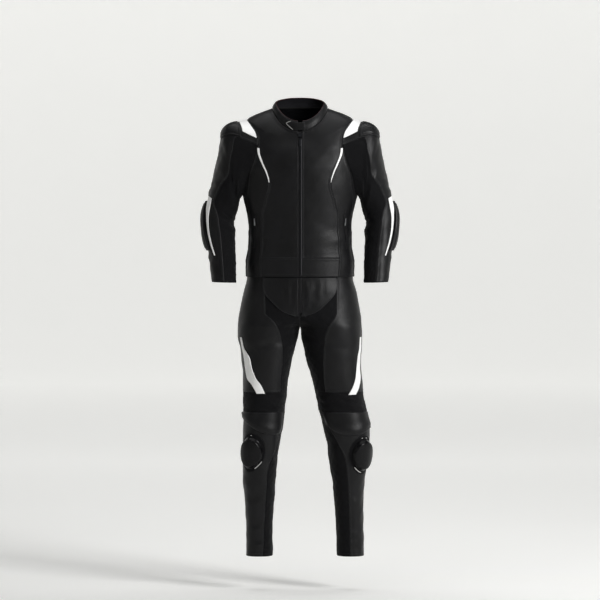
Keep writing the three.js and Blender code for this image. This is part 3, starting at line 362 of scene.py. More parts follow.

# Creases, listed one by one: from x, height to x, height, then bow, width and height of the roll
JACKET_FRONT_CREASES = {
    "right": [
        (30, 1112, 120, 1140, 5, 10, 0.8),
        (24, 1165, 98, 1150, -4, 12, 0.5),
        (60, 1210, 130, 1190, 6, 14, 0.6),
        (95, 1398, 128, 1332, 8, 12, 1.0),
        (40, 1300, 84, 1260, -8, 18, 0.6),
        (110, 1120, 150, 1100, 3, 9, 1.2),
    ],
    "left": [
        (28, 1128, 112, 1118, -5, 11, 0.8),
        (20, 1190, 90, 1172, 6, 13, 0.5),
        (70, 1236, 128, 1214, -4, 14, 0.7),
        (100, 1404, 130, 1340, -7, 12, 1.0),
        (36, 1330, 80, 1290, 8, 18, 0.6),
        (112, 1140, 150, 1112, -4, 9, 1.2),
    ],
}
# By turn and place instead of x and height, with the cloth's length for a degree or a ring
MM_PER_BODY_TURN = 2.6
BACK_CREASES = [
    (150, 1128, 210, 1118, 10, 11, 2.0),
    (140, 1160, 200, 1176, -8, 12, 1.8),
    (168, 1196, 232, 1182, 7, 13, 1.5),
    (135, 1250, 160, 1320, 9, 12, 1.8),
    (226, 1248, 202, 1312, -8, 12, 1.7),
    (128, 1330, 140, 1420, -7, 10, 1.8),
    (233, 1336, 220, 1424, 6, 10, 1.9),
]
MM_PER_SLEEVE_TURN = 1.15
MM_PER_RING = 54.0
SLEEVE_OUTER_CREASES = [
    (60, 4.9, 10, 5.35, 6, 8, 1.8),
    (40, 5.5, -40, 5.6, -5, 8, 2.0),
    (-30, 5.2, -85, 5.75, 5, 8, 1.9),
    (30, 9.7, -20, 9.95, 4, 9, 1.3),
    (20, 10.3, -60, 10.15, -4, 9, 1.2),
    (-88, 3.1, -30, 3.4, 5, 12, 1.3),
]
SLEEVE_INNER_CREASES = [
    (100, 1.2, 120, 2.6, 6, 8, 2.2),
    (125, 0.9, 140, 2.9, -5, 9, 2.4),
    (92, 3.0, 118, 4.4, 5, 9, 1.8),
    (90, 5.9, 200, 6.2, 6, 8, 2.4),
    (84, 6.5, 205, 6.7, -5, 8, 2.6),
    (92, 7.1, 190, 7.2, 5, 9, 2.2),
    (120, 8.2, 180, 8.5, -4, 10, 1.6),
    (205, 1.0, 225, 2.8, 6, 10, 2.4),
    (215, 6.0, 262, 6.5, -5, 9, 2.2),
]
MM_PER_LEG_TURN = 1.75
LEG_ROUND_CREASES = [
    (-20, 880, -100, 852, 8, 12, 2.4),
    (-30, 838, -150, 826, -9, 11, 2.8),
    (-60, 806, -165, 788, 7, 12, 2.0),
    (-25, 618, -160, 604, 8, 9, 2.6),
    (-30, 586, -150, 596, -7, 9, 2.4),
    (-60, 540, -140, 556, 6, 10, 2.0),
    (-40, 430, -130, 405, 8, 12, 1.8),
    (-50, 330, -150, 350, -7, 11, 1.7),
]
LEG_CREASES = {
    "right": [
        (84, 634, 186, 600, 8, 8, 4.6),
        (92, 612, 178, 584, 7, 7, 3.8),
        (60, 622, 104, 606, -4, 6, 2.6),
        (74, 594, 128, 582, -5, 6, 2.4),
        (20, 826, 62, 800, 5, 8, 2.0),
        (14, 800, 58, 772, 6, 8, 1.8),
        (28, 760, 60, 742, -4, 8, 1.5),
        (150, 300, 196, 268, 5, 10, 1.4),
        (140, 200, 190, 184, -4, 9, 1.5),
        (130, 160, 184, 152, 4, 8, 1.6),
        (110, 470, 130, 410, -6, 10, 1.4),
    ],
    "left": [
        (58, 606, 122, 630, -7, 7, 4.0),
        (56, 588, 152, 604, 7, 8, 4.2),
        (88, 634, 152, 620, -5, 6, 2.6),
        (66, 576, 132, 586, -4, 6, 2.2),
        (18, 824, 56, 804, -5, 8, 1.9),
        (14, 792, 52, 770, 5, 8, 1.7),
        (24, 744, 52, 720, -4, 8, 1.5),
        (118, 300, 166, 276, -5, 10, 1.4),
        (106, 206, 160, 190, 4, 9, 1.5),
        (98, 162, 150, 150, -4, 8, 1.6),
        (76, 470, 96, 410, 6, 10, 1.4),
    ],
}
PAD_CREASES = {
    "right": [
        (16, 996, 24, 900, 4, 7, 1.5),
        (36, 998, 40, 912, -4, 8, 1.3),
        (62, 998, 58, 926, 3, 9, 1.0),
        (88, 998, 84, 940, -3, 8, 0.9),
    ],
    "left": [
        (14, 994, 18, 904, -3, 7, 1.2),
        (34, 998, 32, 918, 4, 8, 1.3),
        (58, 998, 60, 930, -3, 9, 1.0),
        (90, 998, 86, 944, 3, 8, 0.9),
    ],
}

# Moulded pads: a rim and a groove inside it, by distance from the edge and width, and studs in the middle
PAD_RELIEF = 0.9
PAD_RIM = (3.2, 1.6)
PAD_GROOVE = (7.0, 1.5)
STUDS_BEGIN = (8.5, 11.0)
STUD_PITCH = 6.5
STUD_HEIGHT = 0.7
ZIP_PITCH = 2.4  # coarser than the real teeth, so that they show

# Stitches, and their rows by distance from the panel's edge
STITCH_PITCH = 3.3
STITCH_LENGTH = 2.5
THREAD_RADIUS = 0.42  # thicker than real thread, so that it shows
STITCH_RISE = 0.15  # of its middle above the cloth
STITCH_DIP = 0.3  # of its ends
STITCH_DEPTH = 0.5
ONE_ROW = (2.2,)
TWIN_ROWS = (2.2, 5.4)
NECK_ROW = (2.4,)
ZIP_ROWS = (2.4, 7)
PATCH_ROW = (2.0,)
PATCH_TWIN_ROWS = (2.2, 5.0)
HEM_ROW = (9,)
ANKLE_ROW = (10,)
CUFF_ROW = (12,)
COLLAR_TOP_ROW = (4.5,)
COLLAR_END_ROW = (3,)

# Tapes and bindings: the radius of each, and how deep it is sunk into the cloth
COLLAR_BINDING = (1.2, 1.5)
NECK_TAPE = (2.9, 2.2)
NECK_TAPE_DROP = 1.6  # under the collar's seam
TAB_EDGE = (0.8, 0.0)
SEAM_TAPE = (1.3, 1.25)
MIDDLE_TAPE = (3.0, 2.6)
ZIP_EDGE = (0.9, 0.0)
HEM_BINDING = (1.5, 1.0)
ARMHOLE_TAPE = (3.4, 2.8)
END_BINDING = (1.6, 0.9)
BINDING_RISE = 1.4  # of hem and ankle bindings above the open end
CUFF_BINDING_RISE = 0.03  # of a ring
CROTCH_TAPE_OVERLAP = 16.0
TAPE_STEP = 8.0  # between points of a tape, in millimetres, and in degrees round an end
TAPE_TURN = 5.0
TAPE_RING_STEP = 0.12
MARK_CORD = (1.1, 0.0)


# Curves and charts

def curve_of(rows, along, column):
    """A smooth curve through a table's column, that never swings past its points."""
    return curve_through(rows[along], rows[column])


def curve_through(places, values):
    places, values = np.asarray(places, float), np.asarray(values, float)
    rises = np.diff(values) / np.diff(places)
    slopes = np.zeros(len(values))
    slopes[0], slopes[-1] = rises[0], rises[-1]
    before, after = rises[:-1], rises[1:]
    same_way = before * after > 0
    slopes[1:-1] = np.where(same_way, 2 * before * after / np.where(same_way, before + after, 1), 0)

    def at(place):
        place = np.clip(place, places[0], places[-1])
        i = np.clip(np.searchsorted(places, place, side="left") - 1, 0, len(rises) - 1)
        span = places[i + 1] - places[i]
        t = (place - places[i]) / span
        return (
            (2 * t**3 - 3 * t**2 + 1) * values[i]
            + (t**3 - 2 * t**2 + t) * span * slopes[i]
            + (3 * t**2 - 2 * t**3) * values[i + 1]
            + (t**3 - t**2) * span * slopes[i + 1]
        )

    return at


def curves_of(rows, along):
    return {column: curve_of(rows, along, column) for column in rows if column != along}


def seam_curve(points):
    return curve_through(*zip(*points))


def steady(value):
    """An edge that stays at one value."""
    return lambda place: value + 0 * place


def smoothstep(value, start, end):
    t = np.clip((value - start) / (end - start), 0, 1)
    return t * t * (3 - 2 * t)


def bell(value, place, width):
    """A soft rise to 1 at one place."""
    return np.exp(-(((value - place) / width) ** 2))


def rounded(value):
    return np.sign(value) * np.abs(value) ** (2 / ROUNDNESS)


def turn_from_share(share):
    return np.degrees(np.arcsin(np.clip(share, 0, 1) ** (ROUNDNESS / 2)))


def fold_height(folds, turn, place):
    total = np.zeros(np.broadcast(turn, place).shape)
    for fold_turn, fold_place, depth, reach, spread, slant in zip(*folds.values()):
        aside = np.mod(turn - fold_turn + 180, 360) - 180
        across = (place - fold_place - slant * aside) / reach
        total += depth * np.exp(-(across**2) - (aside / spread) ** 2)
    return total


def points_of(x, y, z):
    return np.stack(np.broadcast_arrays(x, y, z), axis=-1).astype(float)


def unit(vectors):
    return vectors / np.maximum(np.linalg.norm(vectors, axis=-1, keepdims=True), 1e-9)


def cosine_of(turn):
    return np.cos(np.radians(turn))


def sine_of(turn):
    return np.sin(np.radians(turn))


class Chart:
    """A surface with two directions: a turn round it in degrees, and a place along it."""

    step_turn = 0.4
    step_place = 0.4

    def slopes(self, turn, place):
        along_turn = self.point(turn + self.step_turn, place) - self.point(turn - self.step_turn, place)
        along_place = self.point(turn, place + self.step_place) - self.point(turn, place - self.step_place)
        return along_turn / (2 * self.step_turn), along_place / (2 * self.step_place)

    def normal(self, turn, place):
        along_turn, along_place = self.slopes(turn, place)
        normal = unit(np.cross(along_turn, along_place))
        outward = self.point(turn, place) - self.middle(turn, place)
        inside_out = np.sum(normal * outward, axis=-1, keepdims=True) < 0
        return np.where(inside_out, -normal, normal)


body = curves_of(BODY, "height")


def neck_height(turn):
    cosine = cosine_of(turn)
    front = np.maximum(cosine, 0) ** NECK_DROP_POWER
    return NECK_SIDE_HEIGHT - NECK_FRONT_DROP * front + NECK_BACK_RISE * np.maximum(-cosine, 0)


class BodyChart(Chart):
    """Turn 0 is the front middle, 90 the side and 180 the back; the place is a height."""

    def __init__(self, side):
        self.side = side

    def height_at(self, turn, height):
        share = np.maximum(height - CHEST_LINE, 0) / (NECK - CHEST_LINE)
        return np.minimum(height, CHEST_LINE) + (neck_height(turn) - CHEST_LINE) * share

    def point(self, turn, height):
        sine, cosine = rounded(sine_of(turn)), rounded(cosine_of(turn))
        half_width = body["half_width"](height)
        depth = np.where(cosine > 0, body["front"](height), body["back"](height))
        swell = 1 + fold_height(BODY_FOLDS, self.side * turn, height) / half_width
        return points_of(
            self.side * half_width * sine * swell, -depth * cosine * swell, self.height_at(turn, height)
        )

    def middle(self, turn, height):
        return points_of(0, 0, self.height_at(turn, height))


armhole = curves_of(ARMHOLE, "turn")


def armhole_height(turn):
    return (ARMHOLE_TOP + ARMHOLE_BOTTOM) / 2 + (ARMHOLE_TOP - ARMHOLE_BOTTOM) / 2 * cosine_of(turn)


def armhole_turn(height):
    """Turn round the armhole, 0 at the shoulder and 180 at the armpit, of a height on it."""
    middle = (ARMHOLE_TOP + ARMHOLE_BOTTOM) / 2
    return np.degrees(np.arccos(np.clip((height - middle) / ((ARMHOLE_TOP - ARMHOLE_BOTTOM) / 2), -1, 1)))


def armhole_front(height):
    return turn_from_share(armhole["front"](armhole_turn(height)))


def armhole_back(height):
    return 180 - turn_from_share(armhole["back"](armhole_turn(height)))


def armhole_place(turn):
    """Where the sleeve's turn, negative behind, meets the body chart."""
    height = armhole_height(turn)
    wrapped = np.mod(turn + 180, 360) - 180
    return np.where(wrapped >= 0, armhole_front(height), armhole_back(height)), height


class SleeveChart(Chart):
    """Turn 0 is the outer side, 90 the front and 180 the inside; rings 0 to 11 run down the arm."""

    step_place = 0.01

    def __init__(self, side):
        self.side = side
        self.body = BodyChart(side)

    def ring_point(self, ring, turn):
        if ring < 1:
            at_armhole = self.body.point(*armhole_place(turn))
            return at_armhole if ring == 0 else 2 * at_armhole - self.ring_point(1, turn)
        row = {column: values[min(ring, LAST_RING) - 1] for column, values in SLEEVE.items()}
        cosine, sine = cosine_of(turn), sine_of(turn)
        forward = row["depth"] * np.sign(sine) * np.abs(sine) ** row["square"]
        return points_of(
            self.side * ((row["out_x"] + row["in_x"]) / 2 + (row["out_x"] - row["in_x"]) / 2 * cosine),
            row["y"] - forward,
            (row["out_z"] + row["in_z"]) / 2 + (row["out_z"] - row["in_z"]) / 2 * cosine,
        )

    def bare(self, turn, place):
        turn, place = np.broadcast_arrays(np.asarray(turn, float), np.clip(place, 0, LAST_RING))
        first = np.minimum(np.floor(place), LAST_RING - 1).astype(int)
        result = np.zeros(turn.shape + (3,))
        for ring in np.unique(first):
            here = first == ring
            t = (place[here] - ring)[:, None]
            a, b, c, d = (self.ring_point(int(ring) + i, turn[here]) for i in (-1, 0, 1, 2))
            result[here] = 0.5 * (
                2 * b + (c - a) * t + (2 * a - 5 * b + 4 * c - d) * t**2 + (3 * b - a - 3 * c + d) * t**3
            )
        return result

    def middle(self, turn, place):
        zero = np.zeros(np.broadcast(turn, place).shape)
        return (self.bare(zero, place) + self.bare(zero + 180, place)) / 2

    def point(self, turn, place):
        on_surface = self.bare(turn, place)
        outward = unit(on_surface - self.middle(turn, place))
        return on_surface + outward * fold_height(SLEEVE_FOLDS, turn, place)[..., None]


class LegChart(Chart):
    """Turn 0 is the outer side, 90 the front, 180 the inside and -90 the back; the place is a height."""

    def __init__(self, side, name):
        self.side = side
        self.curves = curves_of(LEG_OUTLINE[name], "height") | curves_of(LEG_DEPTH, "height")
        self.thigh_x = curve_of(THIGH_SEAM[name], "height", "x")
        self.shin_x = curve_of(SHIN_SEAM[name], "height", "x")

    def sizes(self, height):
        size = {column: curve(height) for column, curve in self.curves.items()}
        size["out"] = size["outer"] - size["centre"]
        size["into"] = size["centre"] - size["inner"]
        return size

    def point(self, turn, height):
        size = self.sizes(height)
        cosine, sine = rounded(cosine_of(turn)), rounded(sine_of(turn))
        swell = 1 + fold_height(LEG_FOLDS, turn, height) / size["front"]
        across = np.where(cosine > 0, size["out"], size["into"]) * cosine * swell
        depth = np.where(sine > 0, size["front"], size["back"]) * sine * swell
        return points_of(
            self.side * np.maximum(size["centre"] + across, SEAM_PULL), size["y"] - depth, height
        )

    def middle(self, turn, height):
        size = self.sizes(height)
        return points_of(self.side * size["centre"], size["y"], np.broadcast_to(height, np.shape(turn)))

    def turn_at(self, x, height):
        """Turn of a distance from the mid plane, on the front."""
        size = self.sizes(height)
        across = x - size["centre"]
        share = np.clip(np.abs(across) / np.where(across > 0, size["out"], size["into"]), 0, 1)
        return np.degrees(np.arccos(np.sign(across) * share ** (ROUNDNESS / 2)))

    def inner_turn(self, height):
        """The inseam below the crotch, the mid plane above it."""
        return np.where(height <= CROTCH, 180.0, self.turn_at(0.0, height))

    def thigh_seam(self, height):
        return self.turn_at(self.thigh_x(height), height)

    def shin_seam(self, height):
        return self.turn_at(self.shin_x(height), height)


class CollarChart(Chart):
    """Turn 0 is the front middle; the place is 0 at the neck seam and 1 at the free edge."""

    step_place = 0.02

    def point(self, turn, share):
        sine, cosine = sine_of(turn), cosine_of(turn)
        low = BodyChart(1).point(turn, np.full(np.shape(turn), NECK)) + [0, 0, COLLAR_SEAM_RISE]
        depth = np.where(cosine > 0, COLLAR["front"], COLLAR["back"])
        rise = (COLLAR["back_height"] - COLLAR["side_height"]) * np.maximum(-cosine, 0)
        drop = (COLLAR["side_height"] - COLLAR["front_height"]) * np.maximum(cosine, 0) ** NECK_DROP_POWER
        height = COLLAR["side_height"] + rise - drop
        top = points_of(COLLAR["half_width"] * rounded(sine), -depth * rounded(cosine), height)
        share = np.broadcast_to(share, np.shape(turn))[..., None]
        outward = points_of(sine, -cosine, 0 * sine)
        return low + (top - low) * share + outward * COLLAR_SWELL * np.sin(np.pi * share)

    def middle(self, turn, share):
        return self.point(turn, share) * [0, 0, 1]


class TurnedChart(Chart):
    """The same surface with its two directions swapped, for a piece whose slices run up and down."""

    def __init__(self, chart):
        self.chart = chart
        self.step_turn, self.step_place = chart.step_place, chart.step_turn

    def point(self, place, turn):
        return self.chart.point(turn, place)

    def middle(self, place, turn):
        return self.chart.middle(turn, place)


def armhole_normal(side, turn, of_sleeve):
    """The normal on which body and sleeve meet, so that their walls are mitred."""
    chart = SleeveChart(side)
    body_normal = BodyChart(side).normal(*armhole_place(turn))
    sleeve_normal = chart.normal(turn, np.full(np.shape(turn), chart.step_place))
    seam, beyond = np.zeros(np.shape(turn)), np.full(np.shape(turn), 0.1)
    into_sleeve = chart.point(turn, beyond) - chart.point(turn, seam)
    shared = unit(body_normal + sleeve_normal)
    shared = shared / np.maximum(np.sum(shared * body_normal, axis=-1, keepdims=True), 0.6)
    hollow = np.sum(body_normal * into_sleeve, axis=-1, keepdims=True) > 0
    return np.where(hollow, sleeve_normal if of_sleeve else body_normal, shared)


# Cutting and laying a panel

def to_frame(points):
    """Garment millimetres to the frame's metres."""
    return (points - [0, 0, SHOULDER_HEIGHT]) / MM


def steps_between(length, cell):
    """Distances along a length: close together by both ends, even between them."""
    reach = EDGE_STEPS[-1]
    squeeze = np.minimum(1.0, length / (2.4 * reach))
    near = np.array(EDGE_STEPS) * squeeze
    count = max(2, int(round((length - 2 * near[-1]) / cell)))
    middle = np.linspace(near[-1], length - near[-1], count + 1)[1:-1]
    return np.concatenate([near, middle, length - near[::-1]])


def lengths_along(points, axis):
    steps = np.linalg.norm(np.diff(points, axis=axis), axis=-1)
    start = np.zeros_like(np.take(steps, [0], axis=axis))
    return np.concatenate([start, np.cumsum(steps, axis=axis)], axis=axis)


class Panel:
    """One cut piece of cloth on a chart, between a left and a right edge and two places."""

    def __init__(self, chart, bottom, top, left, right, wall, lift=0.0, cell=CELL, meets=None):
        """Lays out the grid of points; meets(panel) may then turn the normals along an edge."""
        self.wall, self.lift = wall, lift
        samples = np.linspace(bottom, top, 240)
        middle_turn = (left(samples) + right(samples)) / 2
        run = lengths_along(chart.point(middle_turn, samples), 0)
        rows = steps_between(run[-1] - 2 * SEAM_PULL, cell) + SEAM_PULL
        places = np.interp(rows, run, samples)
        edges = np.stack([left(places), right(places)], axis=1)
        fine = np.linspace(0, 1, 25)[None, :]
        across = lengths_along(
            chart.point(edges[:, :1] + (edges[:, 1:] - edges[:, :1]) * fine, places[:, None] + 0 * fine), 1
        )
        widths = across[:, -1]
        widest = steps_between(widths.max(), cell)
        shares = np.stack([self.shares_of(width, len(widest)) for width in widths])
        shares = np.stack([np.interp(share * run_[-1], run_, fine[0]) for share, run_ in zip(shares, across)])
        self.turn = edges[:, :1] + (edges[:, 1:] - edges[:, :1]) * shares
        self.place = places[:, None] + 0 * self.turn
        self.base = chart.point(self.turn, self.place)
        self.normal = chart.normal(self.turn, self.place)
        if meets:
            meets(self)
        self.from_left = lengths_along(self.base, 1)
        self.from_right = self.from_left[:, -1:] - self.from_left
        self.from_bottom = lengths_along(self.base, 0)
        self.from_top = self.from_bottom[-1:] - self.from_bottom
        self.from_edge = np.minimum.reduce([self.from_left, self.from_right, self.from_bottom, self.from_top])
        self.relief = np.zeros(self.turn.shape)
        self.finish = np.zeros(self.turn.shape)

    @staticmethod
    def shares_of(width, count):
        """Places across one row, from 0 to 1, with the same number of columns in each row."""
        pull = SEAM_PULL / max(width, 4 * SEAM_PULL)
        reach = EDGE_STEPS[-1]
        near = np.array(EDGE_STEPS) * min(1.0, width / (2.4 * reach)) / width
        middle = np.linspace(near[-1], 1 - near[-1], count - 2 * len(near) + 2)[1:-1]
        shares = np.concatenate([near, middle, 1 - near[::-1]])
        return pull + shares * (1 - 2 * pull)

    def turned_edge(self, radius=TURNED_EDGE):
        """The outer face rounds over at every edge, as folded leather does."""
        inside = np.clip(1 - self.from_edge / radius, 0, 1)
        self.finish -= 0.8 * self.wall * (1 - np.sqrt(1 - inside**2))

    def raised_seams(self, sides, height=LEATHER_RIDGE, gather=0.3):
        """Beside each seam the folded allowance lies under the cloth: a low ridge, gathered by the thread."""
        for side in sides:
            away = getattr(self, "from_" + side)
            along = self.from_bottom if side in ("left", "right") else self.from_left
            self.finish += height * bell(away, *RIDGE)
            self.finish -= TROUGH_SHARE * height * bell(away, *TROUGH)
            ripple = np.sin(along / 2.6 + 1.7 * np.sin(along / 23)) * (0.6 + 0.4 * np.sin(along / 41 + 2))
            self.finish += gather * ripple * np.exp(-away / GATHER_REACH)

    def outer(self):
        return self.base + self.normal * (self.lift + self.relief + self.finish)[..., None]

    def inner(self):
        return self.base + self.normal * (self.lift - self.wall + self.relief)[..., None]

    def cut_size(self):
        """Width, length and area of the flat cut, in metres."""
        width, length = self.from_left.max(), self.from_bottom.max()
        a, b = self.base[1:, 1:] - self.base[:-1, :-1], self.base[1:, :-1] - self.base[:-1, 1:]
        area = np.linalg.norm(np.cross(a, b), axis=-1).sum() / 2
        width = max(min(width, area / (LEAST_FULLNESS * length)), NARROWEST_CUT)
        return (width / MM, length / MM), min(area, width * length) / MM**2


def grid_faces(rows, columns, start=0):
    """Quads of a grid of points, by index."""
    i, j = np.meshgrid(np.arange(rows - 1), np.arange(columns - 1), indexing="ij")
    corner = (i * columns + j).ravel() + start
    return np.stack([corner, corner + 1, corner + columns + 1, corner + columns], axis=1)


def border_of(rows, columns):
    """Indices once round a grid's border."""
    bottom = np.arange(columns)
    right = np.arange(1, rows) * columns + columns - 1
    top = (rows - 1) * columns + np.arange(columns - 2, -1, -1)
    left = np.arange(rows - 2, 0, -1) * columns
    return np.concatenate([bottom, right, top, left])


def signed_volume(points, quads):
    a, b, c, d = (points[quads[:, k]] for k in range(4))
    return np.sum(a * np.cross(b, c)) + np.sum(a * np.cross(c, d))


def mesh_object(name, points, faces, materials, face_material=None, uv=None, smooth=True, crease=50):
    """A new object from points in garment millimetres."""
    mesh = bpy.data.meshes.new(name)
    faces = np.asarray(faces, np.int32)
    corners = faces.shape[1]
    mesh.vertices.add(len(points))
    mesh.vertices.foreach_set("co", to_frame(np.asarray(points, float)).astype(np.float32).ravel())
    mesh.loops.add(faces.size)
    mesh.loops.foreach_set("vertex_index", faces.ravel())
    mesh.polygons.add(len(faces))
    mesh.polygons.foreach_set("loop_start", np.arange(0, faces.size, corners, dtype=np.int32))
    mesh.polygons.foreach_set("loop_total", np.full(len(faces), corners, np.int32))
    for material in materials:
        mesh.materials.append(material)
    if face_material is not None:
        mesh.polygons.foreach_set("material_index", np.asarray(face_material, np.int32))
    mesh.update(calc_edges=True)
    mesh.validate()
    if uv is not None:
        layer = mesh.uv_layers.new(name="cloth")
        layer.data.foreach_set("uv", (uv[faces.ravel()] / MM).astype(np.float32).ravel())
    mesh.polygons.foreach_set("use_smooth", np.full(len(faces), smooth))
    if smooth:
        mesh.set_sharp_from_angle(angle=math.radians(crease))
    made = bpy.data.objects.new(name, mesh)
    bpy.context.scene.collection.objects.link(made)
    return made


def shell(name, panel, face, back):
    """The panel as one closed thin wall: outer face, inner face and the edge between them."""
    rows, columns = panel.turn.shape
    count = rows * columns
    points = np.concatenate([panel.outer().reshape(-1, 3), panel.inner().reshape(-1, 3)])
    top = grid_faces(rows, columns)
    under = grid_faces(rows, columns, count)[:, ::-1]
    ring = border_of(rows, columns)
    following = np.roll(ring, -1)
    rim = np.stack([following, ring, ring + count, following + count], axis=1)
    faces = np.concatenate([top, under, rim])
    if signed_volume(points, faces) < 0:
        faces = faces[:, ::-1]
    paint = np.concatenate([np.zeros(len(top)), np.ones(len(under)), np.zeros(len(rim))])
    flat = np.stack([panel.from_left, panel.from_bottom], axis=-1).reshape(-1, 2)
    return mesh_object(name, points, faces, [face, back], paint, np.concatenate([flat, flat]))


# Creases, stitches and cords

def crease_profile(away, width):
    """Across a crease: a soft roll with a shallower trough on one side."""
    return bell(away, 0, width) - 0.6 * bell(away, 1.7 * width, 1.15 * width)


def crease_field(across, up, rows, segments=9):
    """Height of listed creases, each a bowed line from one place to another with tapered ends."""
    total = np.zeros(across.shape)
    for x0, z0, x1, z1, bow, width, height in rows:
        start, end = np.array([x0, z0], float), np.array([x1, z1], float)
        run = end - start
        side = np.array([-run[1], run[0]]) / max(np.linalg.norm(run), 1e-6)
        middle = (start + end) / 2 + 2 * bow * side
        t = np.linspace(0, 1, segments + 1)[:, None]
        line = (1 - t) ** 2 * start + 2 * t * (1 - t) * middle + t**2 * end
        best = np.full(across.shape, 1e9)
        away, share = np.zeros(across.shape), np.zeros(across.shape)
        for k in range(segments):
            a, step = line[k], line[k + 1] - line[k]
            length = step @ step
            u = np.clip(((across - a[0]) * step[0] + (up - a[1]) * step[1]) / length, 0, 1)
            dx, dz = across - a[0] - u * step[0], up - a[1] - u * step[1]
            distance = dx**2 + dz**2
            nearer = distance < best
            best = np.where(nearer, distance, best)
            turned = np.sign(step[0] * dz - step[1] * dx)
            away = np.where(nearer, turned * np.sqrt(distance), away)
            share = np.where(nearer, (k + u) / segments, share)
        taper = np.sin(np.pi * np.clip(share, 0, 1)) ** 0.7
        total += height * taper * crease_profile(away, width)
    return total


def crease_seen(panel, side, rows):
    """Creases placed on the front as it is seen: millimetres from the mid plane and above the floor."""
    facing = smoothstep(-panel.normal[..., 1], 0.05, 0.4)
    panel.relief += facing * crease_field(side * panel.base[..., 0], panel.base[..., 2], rows)


def crease_round(panel, rows, mm_per_turn, mm_per_place=1.0):
    """Creases placed by turn and place on the panel's chart."""
    scaled = [
        (t0 * mm_per_turn, p0 * mm_per_place, t1 * mm_per_turn, p1 * mm_per_place, bow, width, height)
        for t0, p0, t1, p1, bow, width, height in rows
    ]
    panel.relief += crease_field(panel.turn * mm_per_turn, panel.place * mm_per_place, scaled)


def unevenness(points, size, height, phase=0.0):
    """Slow waves with no pattern to them, as worn leather has."""
    waves = [(1.0, 0.3, 0.5), (-0.4, 0.9, 0.8), (0.7, -0.5, 0.9), (0.2, 1.0, -0.7), (-0.9, 0.4, 0.6)]
    total = np.zeros(points.shape[:-1])
    for k, wave in enumerate(waves):
        stretch = 1 + 0.37 * k
        total += np.sin(points @ (np.array(wave) * stretch * 2 * np.pi / size) + phase + 1.9 * k) / stretch
    return height * total / 2


class Thread:
    """Stitches of one colour of thread, gathered into one mesh."""

    def __init__(self):
        self.points, self.faces, self.count = [], [], 0

    def sew(self, line, normals):
        """Stitches end to end along a line on the cloth, each drawn into it at both ends."""
        run = lengths_along(line, 0)
        if run[-1] < 2 * STITCH_PITCH:
            return
        places = np.arange(STITCH_PITCH / 2, run[-1], STITCH_PITCH)
        at = np.stack([np.interp(places, run, line[:, k]) for k in range(3)], axis=1)
        up = unit(np.stack([np.interp(places, run, normals[:, k]) for k in range(3)], axis=1))
        along = unit(np.stack([np.gradient(at[:, k]) for k in range(3)], axis=1))
        side = unit(np.cross(along, up))
        at = at + up * STITCH_RISE
        reach, sides = along * STITCH_LENGTH / 2, side * THREAD_RADIUS
        corners = np.stack(
            [
                at - reach - up * STITCH_DIP,
                at + sides,
                at + up * THREAD_RADIUS,
                at - sides,
                at - up * STITCH_DEPTH,
                at + reach - up * STITCH_DIP,
            ],
            axis=1,
        )
        faces = np.array(
            [[0, 1, 2], [0, 2, 3], [0, 3, 4], [0, 4, 1], [5, 2, 1], [5, 3, 2], [5, 4, 3], [5, 1, 4]]
        )
        starts = self.count + 6 * np.arange(len(at))
        self.points.append(corners.reshape(-1, 3))
        self.faces.append((faces[None] + starts[:, None, None]).reshape(-1, 3))
        self.count += 6 * len(at)

    def piece(self, name, material, body="suit"):
        points, faces = np.concatenate(self.points), np.concatenate(self.faces)
        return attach(mesh_object(name, points, faces, [material], smooth=False), body)


def seam_line(panel, side, inset, start=0.0, end=1.0):
    """The line on a panel's outer face at one distance from an edge, and its normals."""
    outer = panel.outer()
    away = getattr(panel, "from_" + side)
    along_rows = side in ("left", "right")
    if not along_rows:
        outer, away, normals = outer.swapaxes(0, 1), away.T, panel.normal.swapaxes(0, 1)
    else:
        normals = panel.normal
    if side in ("right", "top"):
        outer, away, normals = outer[:, ::-1], away[:, ::-1], normals[:, ::-1]
    wide = away[:, -1] > 2.5 * inset
    line, up = (
        np.array([[np.interp(inset, away[i], what[i, :, k]) for k in range(3)] for i in range(len(away))])
        for what in (outer, normals)
    )
    rows = np.arange(len(away)) / (len(away) - 1)
    keep = wide & (rows >= start) & (rows <= end)
    return line[keep], up[keep]


def sew_edges(panel, thread, **insets):
    """Rows of stitches at the given distances from the named edges."""
    for side, distances in insets.items():
        for inset in distances:
            line, normals = seam_line(panel, side, inset)
            if len(line) > 3:
                thread.sew(line, normals)


def tube(line, normals, radius, closed=False, sides=6, flatten=1.0):
    """Points and quads of a cord along a line on the cloth, its ends drawn in unless it is a loop."""
    if closed:
        along = unit(np.roll(line, -1, axis=0) - np.roll(line, 1, axis=0))
    else:
        along = unit(np.stack([np.gradient(line[:, k]) for k in range(3)], axis=1))
    up = unit(normals)
    side = unit(np.cross(along, up))
    angles = (np.arange(sides) * 2 * np.pi / sides)[None, :, None]
    ring = side[:, None] * np.cos(angles) + flatten * up[:, None] * np.sin(angles)
    thickness = np.full(len(line), radius)
    if not closed:
        thickness[[0, -1]] = 0.05 * radius
    points = (line[:, None] + thickness[:, None, None] * ring).reshape(-1, 3)
    i, j = np.meshgrid(np.arange(len(line) - (not closed)), np.arange(sides), indexing="ij")
    here, there = i * sides, (i + 1) % len(line) * sides
    following = (j + 1) % sides
    quads = np.stack([here + j, here + following, there + following, there + j], axis=-1)
    return points, quads.reshape(-1, 4)


def lay_cord(name, line, normals, material, size, **form):
    """A binding or tape on the suit, by its radius and how deep it is sunk into the cloth."""
    radius, sunk = size
    points, quads = tube(line - sunk * unit(normals), normals, radius, **form)
    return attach(mesh_object(name, points, quads, [material]), "suit")


# Materials

